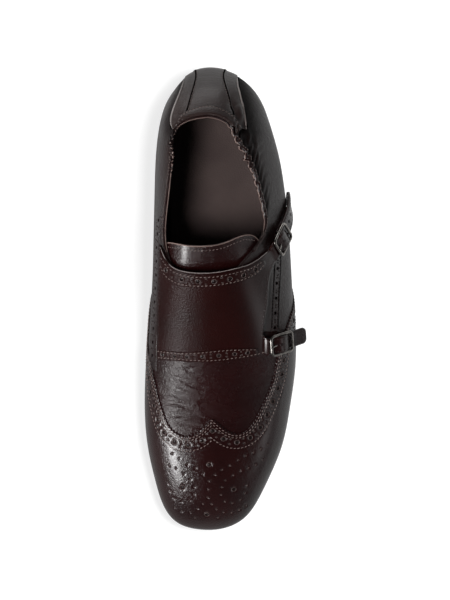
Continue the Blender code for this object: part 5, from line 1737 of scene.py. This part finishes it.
TOP_LIFT = 5.0
block_levels = [(TOP_LIFT + GAP, 1.5), (TOP_LIFT + GAP + 0.1, 0.75)]
for layer in range(3):
    z = TOP_LIFT + GAP + layer * 3.13
    block_levels += [(z + 0.35, 0.55), (z + 2.85, 0.42 - 0.1 * layer), (z + 3.13, 0.72)]
block_levels[-1] = (HEEL_HEIGHT - GAP - 0.1, 0.4)
block_levels.append((HEEL_HEIGHT - GAP, 0.9))
place(stacked("heel_stack", 0.2, block_levels, sole_hide), "sole", "heel_block")
place(stacked("heel_top_piece", 0.75, ((0.0, 1.6), (0.12, 0.9), (0.5, 0.6), (4.6, 0.25), (4.9, 0.4),
                                       (5.0, 0.9)), rubber), "rubber", "heel_top_lift")

# %% [markdown]
# ## Buckles
#
# Each buckle is a bent wire frame with a centre bar. The prong is hooked round the bar and
# comes to rest on the frame's end, and a leather tab folded round the same bar is sewn to the
# quarter. The wire is dark nickel, polished bright where it is handled.

# %% Wire, frame, prong and tab
def at_buckle(which, points):
    """Points given along a strap, across it and out from the wall."""
    middle, along, across, out = buckle_axes(which)
    points = np.asarray(points, float)
    return middle + points[:, :1] * along + points[:, 1:2] * across + points[:, 2:] * out


def wire_parts(path, thickness, closed=False, round_count=14, taper=None):
    """Points and faces of a round wire along a path."""
    path = np.asarray(path, float)
    count = len(path)
    way = ring_way(path) if closed else unit(np.gradient(path, axis=0))
    plane = np.linalg.svd(path - path.mean(axis=0))[2][2]
    beside_way = unit(np.cross(plane, way))
    turn = 2 * math.pi * (np.arange(round_count) + 0.5) / round_count
    radii = np.full(count, thickness / 2) if taper is None else np.asarray(taper) / 2
    points = (path[:, None] + (beside_way[:, None] * np.cos(turn)[None, :, None]
        + plane * np.sin(turn)[None, :, None]) * radii[:, None, None])
    return points.reshape(-1, 3), tube_faces(count, round_count, closed)


def joined(parts):
    points, faces, start = [], [], 0
    for part_points, part_faces in parts:
        points.append(part_points)
        faces += [tuple(k + start for k in face) for face in part_faces]
        start += len(part_points)
    return np.concatenate(points), faces


def arc(middle, radius, start, end, steps):
    turn = np.radians(np.linspace(start, end, steps))
    return np.stack([middle[0] + radius * np.cos(turn), middle[1] + radius * np.sin(turn)], 1)


def make_buckle(which):
    half_length, half_width = (FRAME_LENGTH - BAR) / 2, (FRAME_WIDTH - BAR) / 2
    a, w, ring = half_length - FRAME_CORNER, half_width - FRAME_CORNER, []
    for corner, middle in enumerate(((a, w), (-a, w), (-a, -w), (a, -w))):
        start = corner * 90
        ring += [(*spot, FRAME_Z) for spot in arc(middle, FRAME_CORNER, start, start + 90, 12)]
    bend = 1.0
    side = arc((half_width - bend, CENTRE_BAR_Z + bend), bend, 0, -90, 8)
    half_bar = [(0.0, half_width, FRAME_Z - 0.2)] + [(0.0, w, z) for w, z in side]
    bar = half_bar + [(0.0, -w, z) for _, w, z in reversed(half_bar)]
    points, faces = joined([wire_parts(ring, BAR * 1.2, closed=True), wire_parts(bar, BAR * 0.96)])
    place(make_piece(f"frame_wire_{which}", at_buckle(which, points), faces, nickel),
          "metal", f"buckle_frame_{which}")

    eye = (BAR + PRONG) / 2 + GAP
    hook = arc((0.0, CENTRE_BAR_Z), eye, -150, 118, 26)
    tip_a, tip_z = -half_length - 1.0, FRAME_Z + BAR / 2 + GAP + PRONG / 2
    rise = [(tip_a * share - (1 - share) * eye, tip_z + (hook[-1, 1] - tip_z) * (1 - share) ** 1.5)
            for share in np.linspace(0.12, 1.0, 14)]
    line = np.array([(a, 0.0, c) for a, c in np.concatenate([hook, rise])])
    taper = np.concatenate([np.full(len(line) - 8, PRONG), np.linspace(PRONG, PRONG * 0.7, 8)])
    points, faces = wire_parts(line, PRONG, round_count=10, taper=taper)
    place(make_piece(f"prong_{which}", at_buckle(which, points), faces, nickel),
          "metal", f"buckle_prong_{which}")

    loop, low = BAR / 2 + GAP + TAB / 2, GAP + TAB / 2 + 0.1
    middle_line = np.concatenate([[(13.0, low), (9.5, low), (6.0, low), (2.6, low + 0.1)],
        arc((0.0, CENTRE_BAR_Z), loop, -75, -280, 26),
        [(2.6, low + 2 * TAB + 0.7), (5.2, low + TAB + GAP)]])
    middle_line = smooth_path(middle_line, 70)
    way = unit(np.gradient(middle_line, axis=0))
    side_way = np.stack([-way[:, 1], way[:, 0]], axis=1) * TAB / 2
    across = np.linspace(-1, 1, 9) * (STRAP_WIDTH / 2 - 0.7)
    sheets = [at_buckle(which, [(a, w, c) for a, c in middle_line + offset for w in across])
              for offset in (side_way, -side_way)]
    place(sheet_piece(f"tab_leather_{which}", *sheets, grid_faces(len(middle_line), len(across)),
        trim_calf), "leather", f"buckle_tab_{which}")


for which in BUCKLES:
    make_buckle(which)

# %% The straps' punched holes
strap_hole_sets = []
for which, rows in strap_tops.items():
    middle, along = buckle_axes(which)[:2]
    line, outward = rows[:, ROOT_ROWS // 2], strap_outward[which][:, ROOT_ROWS // 2]
    stops = (-7.2, -1.4) if which == "lower" else (-7.2, -1.4, 16.0, 23.0)
    picks = [int(np.argmin(np.abs((line - middle) @ along - stop))) for stop in stops]
    strap_hole_sets.append((line[picks], outward[picks]))
hole_points, hole_out = (np.concatenate(part) for part in zip(*strap_hole_sets))
for part, lift, radius, backing, finish in (("lips", 0.0, 1.0, False, trim_calf),
        ("backs", 0.02, 0.95, True, well_calf)):
    radii = np.full(len(hole_points), radius)
    place(grown("strap_hole_" + part, carrier(hole_points + hole_out * lift, hole_out, [], radii),
                PUNCHING, Lip=0.2, Backing=backing, Finish=finish), "leather")

# %% [markdown]
# ## Studio
#
# Polished calf shows mostly what it mirrors, so each light stands where its gloss should fall.
# A large soft one on the inner side, a little towards the toe, draws the long highlights on the
# toe, the vamp and the tongue. A dim one grazes the outer side, one lights the heel, and one that
# gloss doesn't see lights the inside. The floor is pale, and a lamp for the floor alone casts
# the soft shadow on the inner side.

# %% Floor
FLOOR_SEEN, FLOOR_IN_GLOSS, FLOOR_HALF = 0.8, 0.03, 1.5


def seen_or_not(tree, seen, otherwise):
    """One number for what the camera sees, another for light and reflections."""
    path = node(tree, "ShaderNodeLightPath").outputs["Is Camera Ray"]
    return spread(tree, path, 0, 1, otherwise, seen)


def floor_finish():
    finish, tree, shader, here = start_finish("pale_floor")
    tree.nodes.remove(shader)
    # In reflections the floor is dim by the toe, brighter behind and by the buckles.
    split = node(tree, "ShaderNodeSeparateXYZ", {"Vector": here}).outputs
    toward = node(tree, "ShaderNodeMath", {0: split["X"], 1: 0.8, 2: split["Y"]},
                  operation="MULTIPLY_ADD")
    mirrored = spread(tree, toward, -0.15, 0.22, 0.17, 0.4)
    grain = spread(tree, noise(tree, here, 3.0, 2), 0.3, 0.7, 0, 1)
    seen = blend_colours(tree, grain, (0.26, 0.26, 0.26), (0.25, 0.25, 0.25))
    colour = blend_colours(tree, seen_or_not(tree, 1, 0), mirrored, seen)
    matt = node(tree, "ShaderNodeBsdfDiffuse", {"Color": colour})
    glow = node(tree, "ShaderNodeEmission", {"Strength": seen_or_not(tree, FLOOR_SEEN, FLOOR_IN_GLOSS)})
    both = node(tree, "ShaderNodeAddShader", {0: matt, 1: glow})
    feed(tree, tree.nodes["Material Output"], {"Surface": both})
    return finish


floor_mesh = bpy.data.meshes.new("floor")
floor_mesh.from_pydata([(x * FLOOR_HALF, y * FLOOR_HALF, -0.0005)
    for x, y in ((-1, -1), (1, -1), (1, 1), (-1, 1))], [], [(0, 1, 2, 3)])
floor_mesh.materials.append(floor_finish())
floor = added("floor", floor_mesh)
print("floor:", 2 * FLOOR_HALF, "m square")


# %% Lights
def soft_light(name, spot, target, across, up, brightness, gloss=True, on_floor=None, soft_edge=False):
    """A rectangle of light. On_floor is True for the floor alone, False for all else."""
    lamp = bpy.data.lights.new(name, "AREA")
    lamp.shape = "RECTANGLE"
    if soft_edge:
        # Brightest in the middle, as behind cloth, so its reflection has no outline.
        lamp.use_nodes = True
        tree = lamp.node_tree
        here = node(tree, "ShaderNodeNewGeometry").outputs["Parametric"]
        offset = node(tree, "ShaderNodeVectorMath", {0: here, 1: (0.5, 0.5, 0.0)}, operation="SUBTRACT")
        distance = node(tree, "ShaderNodeVectorMath", {0: offset}, operation="LENGTH")
        glow = spread(tree, distance, 0.0, 0.5, 1.0, 0.0, interpolation_type="SMOOTHSTEP")
        feed(tree, tree.nodes["Emission"], {"Strength": glow})
    lamp.size, lamp.size_y = across, up
    lamp.energy = brightness * math.pi * across * up
    light = added(name, lamp)
    light.location = spot
    light.rotation_euler = (Vector(target) - Vector(spot)).to_track_quat("-Z", "Y").to_euler()
    light.visible_camera, light.visible_glossy = False, gloss
    if on_floor is not None:
        lit = bpy.data.collections.new(name + "_reach")
        lit.objects.link(floor)
        light.light_linking.receiver_collection = lit
        lit.collection_objects[0].light_linking.link_state = "INCLUDE" if on_floor else "EXCLUDE"


soft_light("key", (-0.95, -0.5, 0.74), (0, 0, 0.04), 1.05, 0.64, 25.0, on_floor=False, soft_edge=True)
soft_light("inside_light", (-0.52, -0.26, 1.2), (0, 0, 0.04), 0.4, 0.4, 32, gloss=False, on_floor=False)
soft_light("outer_fill", (1.05, -0.5, 0.55), (0, 0, 0.04), 0.9, 0.6, 1.3, soft_edge=True)
soft_light("outer_low", (1.25, 0.15, 0.4), (0, 0, 0.04), 1.2, 0.5, 0.22)
soft_light("heel_fill", (-0.15, 1.25, 0.14), (0, 0.1, 0.04), 0.9, 0.28, 2.4)
soft_light("floor_light", (0.28, 0.03, 1.45), (0, 0, 0), 0.35, 0.35, 85, gloss=False, on_floor=True)

world = bpy.data.worlds.new("studio")
bpy.context.scene.world = world
world.use_nodes = True
sky = world.node_tree
way_up = node(sky, "ShaderNodeSeparateXYZ",
              {"Vector": node(sky, "ShaderNodeTexCoord").outputs["Generated"]}).outputs["Z"]
ramp = node(sky, "ShaderNodeValToRGB", {"Fac": way_up})
ramp.color_ramp.elements[0].color = (0.15, 0.15, 0.153, 1)
ramp.color_ramp.elements[1].color = (0.012, 0.012, 0.0125, 1)
room, background = node(sky, "ShaderNodeBackground", {"Color": ramp}), sky.nodes["Background"]
feed(sky, background, {"Color": (0.85, 0.85, 0.86, 1)})
either = node(sky, "ShaderNodeMixShader", {"Fac": seen_or_not(sky, 1, 0), 1: room, 2: background})
feed(sky, sky.nodes["World Output"], {"Surface": either})

# %% Camera
camera = bpy.data.cameras.new("camera")
eye = added("camera", camera)
bpy.context.scene.camera = eye
camera.sensor_width, camera.lens = 36.0, 165.2
EYE_PLACE, AIM = Vector((-0.0666, -0.005, 1.827)), Vector((-0.0005, 0.0, 0.027))
eye.location = EYE_PLACE
look = (AIM - EYE_PLACE).normalized()
right = look.cross(Vector((0, 1, 0))).normalized()
eye.rotation_euler = Matrix((right, right.cross(look), -look)).transposed().to_euler()
camera.clip_start, camera.clip_end = 0.05, 20
bpy.context.scene.view_settings.view_transform = "Standard"

# %% Sizes at the end
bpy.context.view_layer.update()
triangles = 0
for thing in bpy.data.objects:
    if thing.type == "MESH" and "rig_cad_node" not in thing:
        thing.data.calc_loop_triangles()
        triangles += len(thing.data.loop_triangles)
print("triangles added:", triangles)
